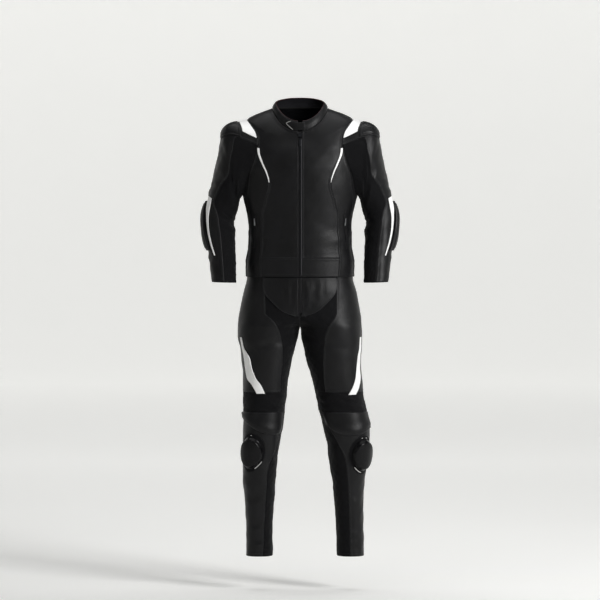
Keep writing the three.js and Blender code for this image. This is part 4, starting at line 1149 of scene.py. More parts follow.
def linear(hex_colour):
    """An sRGB colour as #rrggbb, as the linear light that the shaders work in."""
    values = [int(hex_colour[i : i + 2], 16) / 255 for i in (1, 3, 5)]
    light = [v / 12.92 if v <= 0.04045 else ((v + 0.055) / 1.055) ** 2.4 for v in values]
    return (*light, 1.0)


def add(tree, kind, settings=None, links=None, **properties):
    """One node with its properties, the values of its sockets and what feeds them."""
    node = tree.nodes.new(kind)
    for name, value in properties.items():
        setattr(node, name, value)
    for socket, value in (settings or {}).items():
        node.inputs[socket].default_value = value
    for socket, source in (links or {}).items():
        tree.links.new(source, node.inputs[socket])
    return node


def per_metre(millimetres):
    """Scale of a pattern that repeats every so many millimetres, on coordinates in metres."""
    return MM / millimetres


def finish_material(name, settings):
    """A new material: its tree, its shader with constant values, and its coordinates in the frame."""
    material = bpy.data.materials.new(name)
    material.use_nodes = True
    tree = material.node_tree
    tree.nodes.clear()
    shader = add(tree, "ShaderNodeBsdfPrincipled", settings)
    add(tree, "ShaderNodeOutputMaterial", links={"Surface": shader.outputs["BSDF"]})
    place = add(tree, "ShaderNodeTexCoord").outputs["Object"]
    return material, tree, shader, place


def shades(tree, factor, *stops):
    """Colours along a factor: pairs of a position and an sRGB colour."""
    ramp = add(tree, "ShaderNodeValToRGB", links={"Fac": factor})
    marks = ramp.color_ramp.elements
    while len(marks) < len(stops):
        marks.new(0.5)
    for mark, (position, colour) in zip(marks, stops):
        mark.position, mark.color = position, linear(colour)
    return ramp.outputs["Color"]


def levels(tree, factor, low, high):
    """A factor from 0 to 1 spread between two values."""
    spread = add(tree, "ShaderNodeMapRange", {"To Min": low, "To Max": high}, {"Value": factor})
    return spread.outputs["Result"]


def speckle(tree, place, millimetres, detail=2.0, roughness=0.5):
    """Soft noise of one size."""
    settings = {"Scale": per_metre(millimetres), "Detail": detail, "Roughness": roughness}
    return add(tree, "ShaderNodeTexNoise", settings, {"Vector": place}).outputs["Fac"]


def pebbles(tree, place, millimetres, smooth=0.35):
    """Rounded cells of one size, as in the grain of a hide."""
    settings = {"Scale": per_metre(millimetres), "Smoothness": smooth}
    cells = add(tree, "ShaderNodeTexVoronoi", settings, {"Vector": place}, feature="SMOOTH_F1")
    return cells.outputs["Distance"]


def cloth_bands(tree, millimetres, across=True, distortion=0.0):
    """Bands that run along or across the cloth itself, a band every so many millimetres."""
    uv = add(tree, "ShaderNodeUVMap", uv_map="cloth").outputs["UV"]
    settings = {"Scale": per_metre(millimetres) * math.pi / 10, "Distortion": distortion}
    direction = "X" if across else "Y"
    return add(
        tree, "ShaderNodeTexWave", settings, {"Vector": uv}, wave_type="BANDS", bands_direction=direction
    ).outputs["Fac"]


def bumps(tree, shader, *layers):
    """Bump layers on one another: the height's source, its depth in millimetres and its strength."""
    normal = None
    for height, depth, strength in layers:
        links = {"Height": height}
        if normal is not None:
            links["Normal"] = normal
        normal = add(
            tree, "ShaderNodeBump", {"Distance": depth / MM, "Strength": strength}, links
        ).outputs["Normal"]
    tree.links.new(normal, shader.inputs["Normal"])


def paint(tree, shader, colour=None, roughness=None):
    if colour is not None:
        tree.links.new(colour, shader.inputs["Base Color"])
    if roughness is not None:
        tree.links.new(roughness, shader.inputs["Roughness"])


def black_cowhide():
    """Full-grain cowhide, drum dyed and pigment finished: a low satin gloss broken up by its pebbled grain,
    greyer on the ridges of folds, where rubbed wear and a painted highlight are drawn into the colour
    together."""
    material, tree, shader, place = finish_material(
        "black_cowhide", {"IOR": 1.5, "Coat Weight": 0.02, "Coat Roughness": 0.35, "Specular IOR Level": 0.2}
    )
    # Pointiness picks out sharp fold ridges, which are greyed: rubbed wear together with a painted highlight
    # of the folds
    ridge_sharpness = add(tree, "ShaderNodeNewGeometry").outputs["Pointiness"]
    dye = speckle(tree, place, 55, detail=4.0)
    tone = shades(tree, dye, (0.3, "#0a0a0b"), (0.7, "#0f0f11"))
    ridges = {"From Min": 0.515, "From Max": 0.56, "To Max": 0.35}
    wear_and_highlight = add(tree, "ShaderNodeMapRange", ridges, {"Value": ridge_sharpness}).outputs["Result"]
    grey = {"Color2": linear("#26262a")}
    colour = add(tree, "ShaderNodeMixRGB", grey, {"Fac": wear_and_highlight, "Color1": tone}).outputs["Color"]
    grain = pebbles(tree, place, 2.4)  # real pebbles are about 1 mm, too fine to show from a step away
    pores = speckle(tree, place, 0.9, detail=1.0)
    hide = speckle(tree, place, 14, detail=3.0)
    paint(tree, shader, colour, levels(tree, hide, 0.38, 0.5))
    bumps(tree, shader, (hide, 0.7, 0.25), (grain, 0.5, 0.5), (pores, 0.15, 0.3))
    return material


def white_cowhide():
    """Cowhide with a thick white pigment coat: brighter and smoother than the black, with shallow grain."""
    material, tree, shader, place = finish_material(
        "white_cowhide", {"IOR": 1.5, "Coat Weight": 0.1, "Coat Roughness": 0.3, "Subsurface Weight": 0.0}
    )
    soil = speckle(tree, place, 40, detail=4.0)
    colour = shades(tree, soil, (0.3, "#e2e2e1"), (0.7, "#f1f1f0"))
    grain = pebbles(tree, place, 2.4)
    hide = speckle(tree, place, 12, detail=3.0)
    paint(tree, shader, colour, levels(tree, hide, 0.38, 0.5))
    bumps(tree, shader, (hide, 0.8, 0.3), (grain, 0.3, 0.4))
    return material


def ribbed_stretch():
    """Aramid stretch cloth, warp knitted with a fine rib: it takes the light softly and looks blacker
    than the leather."""
    material, tree, shader, place = finish_material(
        "ribbed_stretch",
        {"IOR": 1.45, "Sheen Weight": 0.03, "Sheen Roughness": 0.5, "Specular IOR Level": 0.14},
    )
    rib = cloth_bands(tree, 2.6)  # the real rib is about 1.5 mm, drawn wider so that it shows
    yarn = cloth_bands(tree, 1.3, across=False)
    fuzz = speckle(tree, place, 1.2, detail=3.0)
    colour = shades(tree, rib, (0.1, "#030304"), (0.9, "#08080b"))
    paint(tree, shader, colour, levels(tree, fuzz, 0.66, 0.8))
    bumps(tree, shader, (rib, 0.6, 0.7), (yarn, 0.25, 0.35), (fuzz, 0.2, 0.3))
    return material


def mesh_lining():
    """Polyester mesh lining: dull dark knit with small round holes."""
    material, tree, shader, place = finish_material("mesh_lining", {"IOR": 1.45, "Specular IOR Level": 0.2})
    holes = add(
        tree, "ShaderNodeTexVoronoi", {"Scale": per_metre(3.2), "Randomness": 0.0}, {"Vector": place}
    ).outputs["Distance"]
    colour = shades(tree, holes, (0.2, "#040405"), (0.34, "#151518"))
    fuzz = speckle(tree, place, 2.0, detail=3.0)
    paint(tree, shader, colour, levels(tree, fuzz, 0.8, 0.95))
    bumps(tree, shader, (holes, 0.5, 0.5), (fuzz, 0.2, 0.4))
    return material


def moulded_armour():
    """Injection-moulded polyurethane with a spark-eroded surface: dark, even and half matt."""
    material, tree, shader, place = finish_material(
        "moulded_armour", {"IOR": 1.5, "Coat Weight": 0.02, "Coat Roughness": 0.3, "Specular IOR Level": 0.2}
    )
    spark = speckle(tree, place, 1.1, detail=2.0)
    cloud = speckle(tree, place, 30, detail=3.0)
    tone = shades(tree, cloud, (0.3, "#09090a"), (0.7, "#0e0e10"))
    paint(tree, shader, tone, levels(tree, spark, 0.34, 0.46))
    bumps(tree, shader, (spark, 0.25, 0.5))
    return material


def slider_nylon():
    """Hard glossy nylon of a knee slider, with faint scuffs that dull it in places."""
    material, tree, shader, place = finish_material(
        "slider_nylon", {"IOR": 1.53, "Coat Weight": 0.04, "Coat Roughness": 0.12, "Specular IOR Level": 0.12}
    )
    scuff = speckle(tree, place, 9, detail=6.0, roughness=0.7)
    tone = shades(tree, scuff, (0.3, "#070708"), (0.75, "#0e0e10"))
    paint(tree, shader, tone, levels(tree, scuff, 0.16, 0.34))
    bumps(tree, shader, (scuff, 0.2, 0.25))
    return material


def woven_tape():
    """Polyester zip tape, woven in a fine herringbone: flat black with a slight rib."""
    material, tree, shader, place = finish_material("woven_tape", {"IOR": 1.45, "Specular IOR Level": 0.3})
    rib = cloth_bands(tree, 1.6, across=False)
    fuzz = speckle(tree, place, 1.0)
    tone = shades(tree, rib, (0.2, "#070708"), (0.8, "#101012"))
    paint(tree, shader, tone, levels(tree, fuzz, 0.7, 0.85))
    bumps(tree, shader, (rib, 0.3, 0.6), (fuzz, 0.15, 0.3))
    return material


def plated_zinc(name, dark, light, gloss):
    """Zinc casting, tumbled and nickel plated: a metal sheen with small pits."""
    material, tree, shader, place = finish_material(name, {"Metallic": 1.0})
    pits = speckle(tree, place, 1.5, detail=4.0)
    tint = shades(tree, pits, (0.3, dark), (0.8, light))
    paint(tree, shader, tint, levels(tree, pits, gloss, gloss + 0.14))
    bumps(tree, shader, (pits, 0.06, 0.3))
    return material


def bonded_thread(name, dark, light):
    """Bonded nylon thread, twisted and waxed: small bright glints along each stitch."""
    material, tree, shader, place = finish_material(
        name, {"IOR": 1.5, "Sheen Weight": 0.1, "Sheen Roughness": 0.4}
    )
    twist = speckle(tree, place, 0.8)
    paint(tree, shader, shades(tree, twist, (0.3, dark), (0.7, light)), levels(tree, twist, 0.42, 0.6))
    bumps(tree, shader, (twist, 0.15, 0.5))
    return material


def binding_tape(name, dark, light):
    """Folded nylon binding: a narrow dull ribbon along an edge."""
    material, tree, shader, place = finish_material(name, {"IOR": 1.45, "Specular IOR Level": 0.3})
    weave = speckle(tree, place, 1.2, detail=2.0)
    paint(tree, shader, shades(tree, weave, (0.3, dark), (0.7, light)), levels(tree, weave, 0.6, 0.8))
    bumps(tree, shader, (weave, 0.2, 0.5))
    return material


# The garment's pieces

def finishes():
    """Every material, made once."""
    return {
        "leather": black_cowhide(),
        "white": white_cowhide(),
        "stretch": ribbed_stretch(),
        "lining": mesh_lining(),
        "armour": moulded_armour(),
        "slider": slider_nylon(),
        "tape": woven_tape(),
        "zinc": plated_zinc("dark_plated_zinc", "#1d1e20", "#343538", 0.36),
        "bright_zinc": plated_zinc("bright_plated_zinc", "#8f9194", "#b9bbbd", 0.24),
        "black_thread": bonded_thread("black_bonded_thread", "#131315", "#242428"),
        "white_thread": bonded_thread("white_bonded_thread", "#b9b9b6", "#dededb"),
        "red_binding": binding_tape("dark_red_binding", "#260c0c", "#381211"),
        "grey_binding": binding_tape("light_grey_binding", "#8e8e8c", "#b4b4b1"),
        "zip_binding": binding_tape("dark_grey_binding", "#3a3a3d", "#4c4c50"),
    }


SIDES = (("right", 1), ("left", -1))


class Maker:
    """Holds the finishes and the threads while the pieces are laid."""

    def __init__(self):
        self.finish = finishes()
        self.black, self.white = Thread(), Thread()

    def lay(self, name, panel, face, held="stretched", back="lining"):
        """A panel becomes its node's shell, and the flat size it was cut to is worked out."""
        panel.turned_edge(min(TURNED_EDGE, 0.8 * panel.wall))
        made = shell(name + "_shell", panel, self.finish[face], self.finish[back])
        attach(made, "suit")
        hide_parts(name)
        if held:
            flat, area = panel.cut_size()
        return made

    def sew_wall(self, name, panel, face, seams, waves=None, phase=0, **stitches):
        """A wall panel with slow waves of a size and height, raised seams and rows of stitches."""
        if waves:
            panel.relief += unevenness(panel.base, *waves, phase)
        panel.raised_seams(seams, LEATHER_RIDGE if face == "leather" else STRETCH_RIDGE)
        sew_edges(panel, self.black, **stitches)
        self.lay(name, panel, face)


def mitred_at_armhole(side, edge, of_sleeve=False, from_place=None, to_place=None, behind=False):
    """Sets the normals along one edge to those on which body and sleeve meet."""

    def meets(panel):
        index = {"left": (slice(None), 0), "right": (slice(None), -1), "bottom": (0, slice(None))}[edge]
        place = panel.place[index]
        turn = panel.turn[index] if of_sleeve else armhole_turn(place) * (-1 if behind else 1)
        shared = armhole_normal(side, turn, of_sleeve)
        if not of_sleeve:
            here = (place > from_place) & (place < to_place)
            shared = np.where(here[:, None], shared, panel.normal[index])
        panel.normal[index] = shared

    return meets


FRONT_TIP = armhole_height(FRONT_TIP_TURN)
UNDERARM_TIP = armhole_height(UNDERARM_TIP_TURN)


def seam_to_armhole(points, tip_height, armhole_share):
    return seam_curve([*points, (tip_height, armhole_share - TIP_SHARE)])


princess = seam_to_armhole(PRINCESS_SEAM, FRONT_TIP, float(armhole["front"](FRONT_TIP_TURN)))
side_front = seam_to_armhole(SIDE_SEAM_FRONT, UNDERARM_TIP, float(armhole["front"](UNDERARM_TIP_TURN)))
side_back = seam_to_armhole(SIDE_SEAM_BACK, UNDERARM_TIP, float(armhole["back"](UNDERARM_TIP_TURN)))


def princess_turn(height):
    return turn_from_share(princess(height))


def side_front_turn(height):
    return turn_from_share(side_front(height))


def side_back_turn(height):
    return 180 - turn_from_share(side_back(height))


def zip_turn(height):
    return turn_from_share(ZIP_HALF_WIDTH / body["half_width"](height))


def jacket_front(maker, name, side):
    """Hem band, middle front, side front and the two underarm stretch panels of one side."""
    chart = BodyChart(side)

    def front_edge(height):
        above = np.where(height < ARMHOLE_TOP, armhole_front(height), 90.0)
        return np.where(height < FRONT_TIP, princess_turn(height), above)

    def side_edge(height):
        return np.where(height < UNDERARM_TIP, side_front_turn(height), armhole_front(height))

    def under_front(height):
        return np.where(height <= ARMHOLE_BOTTOM, 90.0, armhole_front(height))

    def under_back(height):
        return np.where(height <= ARMHOLE_BOTTOM, 90.0, armhole_back(height))

    band = Panel(chart, HEM, HEM_SEAM, zip_turn, princess_turn, LEATHER)
    maker.sew_wall(
        f"jacket_hem_band_{name}", band, "leather", ("top", "right"),
        top=ONE_ROW, bottom=HEM_ROW, right=ONE_ROW,
    )

    front = Panel(
        chart, HEM_SEAM, NECK, zip_turn, front_edge, LEATHER,
        meets=mitred_at_armhole(side, "right", from_place=FRONT_TIP, to_place=ARMHOLE_TOP),
    )
    crease_seen(front, side, JACKET_FRONT_CREASES[name])
    maker.sew_wall(
        f"jacket_front_{name}", front, "leather", ("left", "right", "bottom", "top"), (95, 0.45), side,
        left=ZIP_ROWS, right=TWIN_ROWS, bottom=ONE_ROW, top=NECK_ROW,
    )

    side_panel = Panel(
        chart, HEM, FRONT_TIP, princess_turn, side_edge, LEATHER,
        meets=mitred_at_armhole(side, "right", from_place=UNDERARM_TIP, to_place=FRONT_TIP + 1),
    )
    crease_seen(side_panel, side, JACKET_FRONT_CREASES[name])
    maker.sew_wall(
        f"jacket_side_front_{name}", side_panel, "leather", ("left", "right"), (85, 0.5), 2 + side,
        left=ONE_ROW, right=TWIN_ROWS, bottom=HEM_ROW,
    )
    for place, left, right, behind, phase in (
        ("front", side_front_turn, under_front, False, 4), ("back", side_back_turn, under_back, True, 5),
    ):
        under = Panel(
            chart, HEM, UNDERARM_TIP, left, right, STRETCH,
            meets=mitred_at_armhole(side, "right", False, ARMHOLE_BOTTOM, UNDERARM_TIP + 1, behind),
        )
        maker.sew_wall(
            f"jacket_underarm_{place}_{name}", under, "stretch", ("left",), (40, 0.8), phase + side
        )


def jacket_back(maker):
    """The whole back in one leather panel, from one armhole and side seam to the other."""

    def edge(height):
        above = np.where(height < ARMHOLE_TOP, armhole_back(height), 90.0)
        return np.where(height < UNDERARM_TIP, side_back_turn(height), above)

    def other_edge(height):
        return 360 - edge(height)

    def meets(panel):
        for side, index in ((1, 0), (-1, -1)):
            place = panel.place[:, index]
            shared = armhole_normal(side, -armhole_turn(place), False)
            here = (place > UNDERARM_TIP) & (place < ARMHOLE_TOP)
            panel.normal[:, index] = np.where(here[:, None], shared, panel.normal[:, index])

    back = Panel(BodyChart(1), HEM, NECK, edge, other_edge, LEATHER, meets=meets)
    crease_round(back, BACK_CREASES, MM_PER_BODY_TURN)
    maker.sew_wall(
        "jacket_back", back, "leather", ("left", "right", "top"), (100, 1.1), 7,
        left=TWIN_ROWS, right=TWIN_ROWS, top=NECK_ROW, bottom=HEM_ROW,
    )


def sleeve(maker, name, side):
    """Outer leather and inner stretch of one sleeve."""
    chart = SleeveChart(side)
    front, back = curve_of(SLEEVE_SEAM_FRONT, "ring", "turn"), curve_of(SLEEVE_SEAM_BACK, "ring", "turn")

    def around(ring):
        return back(ring) + 360

    outer = Panel(
        chart, 0.0, LAST_RING, back, front, LEATHER, meets=mitred_at_armhole(side, "bottom", of_sleeve=True)
    )
    crease_round(outer, SLEEVE_OUTER_CREASES, MM_PER_SLEEVE_TURN, MM_PER_RING)
    maker.sew_wall(
        f"sleeve_outer_{name}", outer, "leather", ("left", "right", "bottom"), (70, 0.7), 3 * side,
        left=ONE_ROW, right=TWIN_ROWS, bottom=NECK_ROW, top=CUFF_ROW,
    )

    inner = Panel(
        chart, 0.0, LAST_RING, front, around, STRETCH, meets=mitred_at_armhole(side, "bottom", of_sleeve=True)
    )
    crease_round(inner, SLEEVE_INNER_CREASES, MM_PER_SLEEVE_TURN, MM_PER_RING)
    maker.sew_wall(
        f"sleeve_inner_{name}", inner, "stretch", ("left", "right", "bottom"), (34, 0.8), 1 + side,
        top=CUFF_ROW,
    )


def patch(chart, bottom, top, left, right, cell=CELL):
    """A piece that lies on the panels of a chart."""
    return Panel(chart, bottom, top, left, right, PATCH, lift=ON_CLOTH, cell=cell)


def ends_of(rows, along):
    return rows[along][0], rows[along][-1]


def sleeve_patch(chart, rows, swell=0.0, cell=CELL):
    """A piece that lies on the sleeve, domed by its swell."""
    near, far = curve_of(rows, "ring", "near"), curve_of(rows, "ring", "far")
    first, last = ends_of(rows, "ring")
    made = patch(chart, first, last, near, far, cell)
    across = 2 * (made.turn - near(made.place)) / (far(made.place) - near(made.place)) - 1
    along = 2 * (made.place - first) / (last - first) - 1
    made.relief += swell * np.sqrt(np.clip((1 - across**2) * (1 - along**2), 0, 1))
    return made


def sleeve_pieces(maker, name, side):
    """White flashes at shoulder and elbow, and the moulded cap and guard."""
    chart = SleeveChart(side)
    flash = sleeve_patch(chart, SHOULDER_FLASH)
    sew_edges(flash, maker.white, bottom=ONE_ROW, top=ONE_ROW)
    maker.lay(f"shoulder_flash_{name}", flash, "white", held="laid")

    cap = sleeve_patch(chart, SHOULDER_CAP, CAP_SWELL, FINE_CELL)
    moulded_field(cap)
    maker.lay(f"shoulder_cap_{name}", cap, "armour", held=None, back="armour")

    strip = sleeve_patch(chart, ELBOW_FLASH)
    sew_edges(strip, maker.white, left=PATCH_ROW, right=PATCH_ROW, bottom=ONE_ROW)
    maker.lay(f"elbow_flash_{name}", strip, "white", held="laid")

    guard = sleeve_patch(chart, ELBOW_GUARD, GUARD_SWELL, FINE_CELL)
    moulded_field(guard)
    maker.lay(f"elbow_guard_{name}", guard, "armour", held=None, back="armour")


def moulded_field(panel):
    """A raised rim, a groove inside it, and low studs in the middle, as moulded pads have."""
    away = panel.from_edge
    panel.finish += PAD_RELIEF * (bell(away, *PAD_RIM) - bell(away, *PAD_GROOVE))
    inside = smoothstep(away, *STUDS_BEGIN)
    row = np.round(panel.from_bottom / STUD_PITCH)
    shift = np.where(np.mod(row, 2) > 0.5, STUD_PITCH / 2, 0.0)
    centre = panel.from_left - panel.from_left[:, -1:] / 2 + shift
    du = (np.mod(centre / STUD_PITCH + 0.5, 1) - 0.5) * STUD_PITCH
    dv = panel.from_bottom - row * STUD_PITCH
    stud = smoothstep(-np.hypot(du, dv), -0.47 * STUD_PITCH, -0.3 * STUD_PITCH)
    panel.finish += STUD_HEIGHT * stud * inside


def chest_strip(maker, name, side):
    """The slim white strip along the curved front seam, tapering to a point at its lower end."""
    width = curve_of(CHEST_STRIP, "height", "width")

    def edge(sign):
        return lambda height: turn_from_share(
            princess(height) + sign * width(height) / 2 / body["half_width"](height)
        )

    strip = patch(BodyChart(side), *ends_of(CHEST_STRIP, "height"), edge(-1), edge(1), SMALL_CELL)
    maker.lay(f"chest_strip_{name}", strip, "white", held="laid")


def pocket_x(height):
    share = (height - POCKET["bottom"]) / (POCKET["top"] - POCKET["bottom"])
    return POCKET["bottom_x"] + (POCKET["top_x"] - POCKET["bottom_x"]) * share


def zip_teeth(chart, turn_of, places, reach, lift, size):
    """Two rows of teeth that mesh in the middle: points and quads of small blocks."""
    points, faces = [], []
    corners = np.array([[x, y, z] for x in (-1, 1) for y in (-1, 1) for z in (-1, 1)], float) / 2
    block = np.array([[0, 1, 3, 2], [4, 6, 7, 5], [0, 4, 5, 1], [2, 3, 7, 6], [0, 2, 6, 4], [1, 5, 7, 3]])
    for k, place in enumerate(places):
        sign = 1 if k % 2 else -1
        turn = np.array([turn_of(place)])
        at = chart.point(turn, np.array([place]))
        up = chart.normal(turn, np.array([place]))[0]
        along_turn, _ = chart.slopes(turn, np.array([place]))
        side = unit(along_turn)[0]
        along = np.cross(side, up)
        middle = at[0] + side * sign * reach + up * lift
        points.append(middle + corners @ np.array([side * size[0], along * size[1], up * size[2]]))
        faces.append(block + 8 * k)
    return np.concatenate(points), np.concatenate(faces)


def pocket_zip(maker, name, side):
    """A slanted pocket zip between narrow leather welts."""
    chart = BodyChart(side)

    def edge(sign):
        return lambda height: turn_from_share(
            (pocket_x(height) + sign * POCKET["half_width"]) / body["half_width"](height)
        )

    tape = patch(chart, POCKET["bottom"], POCKET["top"], edge(-1), edge(1), POCKET_TAPE_CELL)
    depth, reach = POCKET_TAPE_DIP
    tape.finish -= depth * bell((tape.from_left - tape.from_right) / 2, 0, reach)
    maker.lay(f"pocket_zip_{name}", tape, "tape", held="laid", back="tape")

    def turn_of(height):
        return float(turn_from_share(pocket_x(height) / body["half_width"](height)))

    places = np.arange(POCKET["bottom"] + 3, POCKET["top"] - 4, ZIP_PITCH)
    points, faces = zip_teeth(chart, turn_of, places, POCKET_TEETH_REACH, ON_CLOTH + 0.3, POCKET_TOOTH)
    teeth = mesh_object(f"pocket_teeth_{name}", points, faces, [maker.finish["zinc"]], smooth=False)
    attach(teeth, "suit")


def front_zip(maker):
    """Tape and teeth of the front zip, from the hem to the neck."""
    chart = BodyChart(1)
    tape = Panel(chart, HEM, NECK, lambda h: -zip_turn(h), zip_turn, LEATHER, cell=SMALL_CELL)
    maker.lay("front_zip", tape, "tape", held="stretched", back="tape")
    places = np.arange(HEM + 5, NECK - TEETH_SHORT, ZIP_PITCH)
    points, faces = zip_teeth(chart, lambda h: 0.0, places, FRONT_TEETH_REACH, 0.4, FRONT_TOOTH)
    teeth = mesh_object("front_teeth", points, faces, [maker.finish["zinc"]], smooth=False)
    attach(teeth, "suit")


def collar(maker):
    """Stand collar with a bound edge, and the closing tab on its left."""
    chart = CollarChart()
    around = Panel(
        chart, 0.0, 1.0,
        steady(COLLAR_FRONT_TURN), steady(360 - COLLAR_FRONT_TURN), COLLAR_WALL,
    )
    around.relief += unevenness(around.base, 60, 0.5, phase=9)
    around.raised_seams(("bottom", "left", "right"))
    sew_edges(
        around, maker.black,
        bottom=NECK_ROW, top=COLLAR_TOP_ROW, left=COLLAR_END_ROW, right=COLLAR_END_ROW,
    )
    maker.lay("collar", around, "leather", back="lining")
    line, normals = seam_line(around, "top", 0.4)
    lay_cord("collar_binding", line, normals, maker.finish["red_binding"], COLLAR_BINDING, flatten=1.4)

    line, normals = seam_line(around, "bottom", 0.6)
    lay_cord("neck_tape", line - [0, 0, NECK_TAPE_DROP], normals, maker.finish["tape"], NECK_TAPE)

    tip = curve_of(COLLAR_TAB, "share", "tip")
    tab = Panel(
        chart, COLLAR_TAB["share"][0], COLLAR_TAB["share"][-1], tip, steady(COLLAR_TAB_END), PATCH,
        lift=ON_CLOTH, cell=SMALL_CELL,
    )
    maker.lay("collar_tab", tab, "leather", held="laid", back="leather")
    line, normals = seam_line(tab, "left", 1.0)
    lay_cord("collar_tab_edge", line, normals, maker.finish["grey_binding"], TAB_EDGE)


def trouser_leg(maker, name, side):
    """The wall panels of one leg, from the waist to the ankle."""
    chart = LegChart(side, name)
    outside, inside, behind = steady(SIDE_TURN), steady(180), steady(-180)

    def behind_inside(height):
        return -chart.inner_turn(height)

    def wall_of(piece, face, low, high, start, end, seams, waves, **stitches):
        panel = Panel(chart, low, high, start, end, LEATHER if face == "leather" else STRETCH)
        crease_seen(panel, side, LEG_CREASES[name])
        crease_round(panel, LEG_ROUND_CREASES, MM_PER_LEG_TURN)
        maker.sew_wall(f"{piece}_{name}", panel, face, seams, waves, len(piece) + side, **stitches)

    wall_of(
        "trouser_crotch", "stretch", KNEE_TOP, WAIST, chart.inner_turn, chart.thigh_seam,
        ("left", "right", "bottom"), (44, 0.8), left=NECK_ROW,
    )
    wall_of(
        "trouser_thigh", "leather", KNEE_TOP, WAIST, chart.thigh_seam, outside,
        ("left", "right", "bottom"), (105, 0.5), left=TWIN_ROWS, right=ONE_ROW, bottom=TWIN_ROWS,
    )
    wall_of(
        "trouser_knee", "stretch", KNEE_SEAM, KNEE_TOP, inside, outside,
        ("left", "right", "bottom", "top"), (36, 0.7),
    )
    wall_of(
        "trouser_calf", "stretch", ANKLE, KNEE_SEAM, inside, chart.shin_seam,
        ("left", "right", "top"), (44, 0.8), bottom=ANKLE_ROW,
    )
    wall_of(
        "trouser_shin", "leather", ANKLE, KNEE_SEAM, chart.shin_seam, outside,
        ("left", "right", "top"), (90, 1.0), left=TWIN_ROWS, right=ONE_ROW, top=ONE_ROW, bottom=ANKLE_ROW,
    )
    wall_of(
        "trouser_seat", "leather", KNEE_SEAM, WAIST, outside, behind_inside,
        ("left", "right", "bottom"), (100, 1.1), left=ONE_ROW, right=TWIN_ROWS, bottom=ONE_ROW,
    )
    wall_of(
        "trouser_back_calf", "leather", ANKLE, KNEE_SEAM, outside, behind,
        ("left", "right", "top"), (90, 1.0), right=ONE_ROW, top=TWIN_ROWS, bottom=ANKLE_ROW,
    )
    leg_pieces(maker, chart, name, side)


def leg_pieces(maker, chart, name, side):
    """What lies on the leg: front pad, white flash, knee cup, slider surround and slider."""

    def turn_of(curve):
        return lambda height: chart.turn_at(curve(height), height)

    pad = patch(
        chart, *ends_of(FRONT_PAD, "height"),
        turn_of(steady(FLY_HALF_WIDTH)), turn_of(curve_of(FRONT_PAD, "height", "x")),
    )
    crease_seen(pad, side, PAD_CREASES[name])
    pad.relief += unevenness(pad.base, 60, 0.35, phase=side)
    pad.raised_seams(("right", "left"), height=0.3)
    sew_edges(pad, maker.black, right=PATCH_TWIN_ROWS, left=ONE_ROW)
    maker.lay(f"front_pad_{name}", pad, "leather", held="laid", back="leather")

    rows = THIGH_FLASH[name]
    flash = patch(
        chart, *ends_of(rows, "height"),
        turn_of(curve_of(rows, "height", "near")), turn_of(curve_of(rows, "height", "far")),
    )
    sew_edges(flash, maker.white, left=PATCH_ROW, right=PATCH_ROW)
    maker.lay(f"thigh_flash_{name}", flash, "white", held="laid")

    cup = KNEE_CUP[name]
    bottom = curve_of(cup, "x", "bottom")
    near_turn = float(chart.turn_at(cup["x"][0], KNEE_CUP_TOP))

    def hem_of(turn):
        x = np.abs(chart.point(turn, np.full(np.shape(turn), KNEE_CUP_TOP - CUP_HEM_UNDER))[..., 0])
        return bottom(x)

    knee = patch(TurnedChart(chart), near_turn, 0.0, hem_of, steady(KNEE_CUP_TOP), KNEE_CUP_CELL)
    roll = bell(knee.from_left, CUP_ROLL_PLACE, CUP_ROLL_WIDTH)
    knee.relief += CUP_ROLL * roll * smoothstep(np.minimum(knee.from_bottom, knee.from_top), 0, 22)
    knee.raised_seams(("left",), height=0.5)
    sew_edges(knee, maker.black, left=PATCH_TWIN_ROWS)
    maker.lay(f"knee_cup_{name}", knee, "leather", held="laid", back="leather")
    knee_slider(maker, chart, name)


def oval(slider, half_height, half_turn):
    """Left and right edge of an oval on the leg, a little blunt at its ends."""
    def half(height):
        share = OVAL_TIP * (height - slider["height"]) / half_height
        return half_turn * np.sqrt(1 - np.minimum(share**2, 1))

    return (
        slider["height"] - half_height,
        slider["height"] + half_height,
        lambda h: slider["turn"] + half(h),
        lambda h: slider["turn"] - half(h),
    )


def knee_slider(maker, chart, name):
    """The dull surround, the glossy slider on it, and short white cords round it, those at its top painted
    highlights.
    """
    slider = SLIDER[name]
    half_height, half_turn = SLIDER_HALF_HEIGHT + SURROUND_MARGIN, SLIDER_HALF_TURN + SURROUND_TURN_MARGIN
    around = patch(chart, *oval(slider, half_height, half_turn), SMALL_CELL)
    sew_edges(around, maker.black, left=ONE_ROW, right=ONE_ROW)
    maker.lay(f"slider_base_{name}", around, "stretch", held="laid", back="stretch")
    puck = Panel(
        chart, *oval(slider, SLIDER_HALF_HEIGHT, SLIDER_HALF_TURN), PATCH, lift=2 * ON_CLOTH, cell=FINE_CELL
    )
    aside = (puck.turn - slider["turn"]) / SLIDER_HALF_TURN
    out = np.hypot(aside, (puck.place - slider["height"]) / SLIDER_HALF_HEIGHT)
    width, share = SLIDER_BEVEL
    bevel, dome = smoothstep(1 - out, 0.0, width), np.sqrt(np.clip(1 - out**2, 0, 1))
    puck.relief += SLIDER_THICKNESS * (share * bevel + (1 - share) * dome)
    maker.lay(f"knee_slider_{name}", puck, "slider", held=None, back="slider")
    # White cords in thread colour round the slider: those at its top are painted highlights of its edge, the
    # low ones white lines on the surround
    for mark, (start, end) in enumerate(SLIDER_LINES_AND_GLINTS[name]):
        angle = np.radians(np.linspace(start, end, max(4, int((end - start) / 3))))
        turn = slider["turn"] + MARK_OVAL[0] * SLIDER_HALF_TURN * np.cos(angle)
        height = slider["height"] + MARK_OVAL[1] * SLIDER_HALF_HEIGHT * np.sin(angle)
        normals = chart.normal(turn, height)
        line = chart.point(turn, height) + (ON_CLOTH + MARK_LIFT) * normals
        lay_cord(f"slider_line_and_glint_{name}_{mark}", line, normals, maker.finish["white_thread"], MARK_CORD)


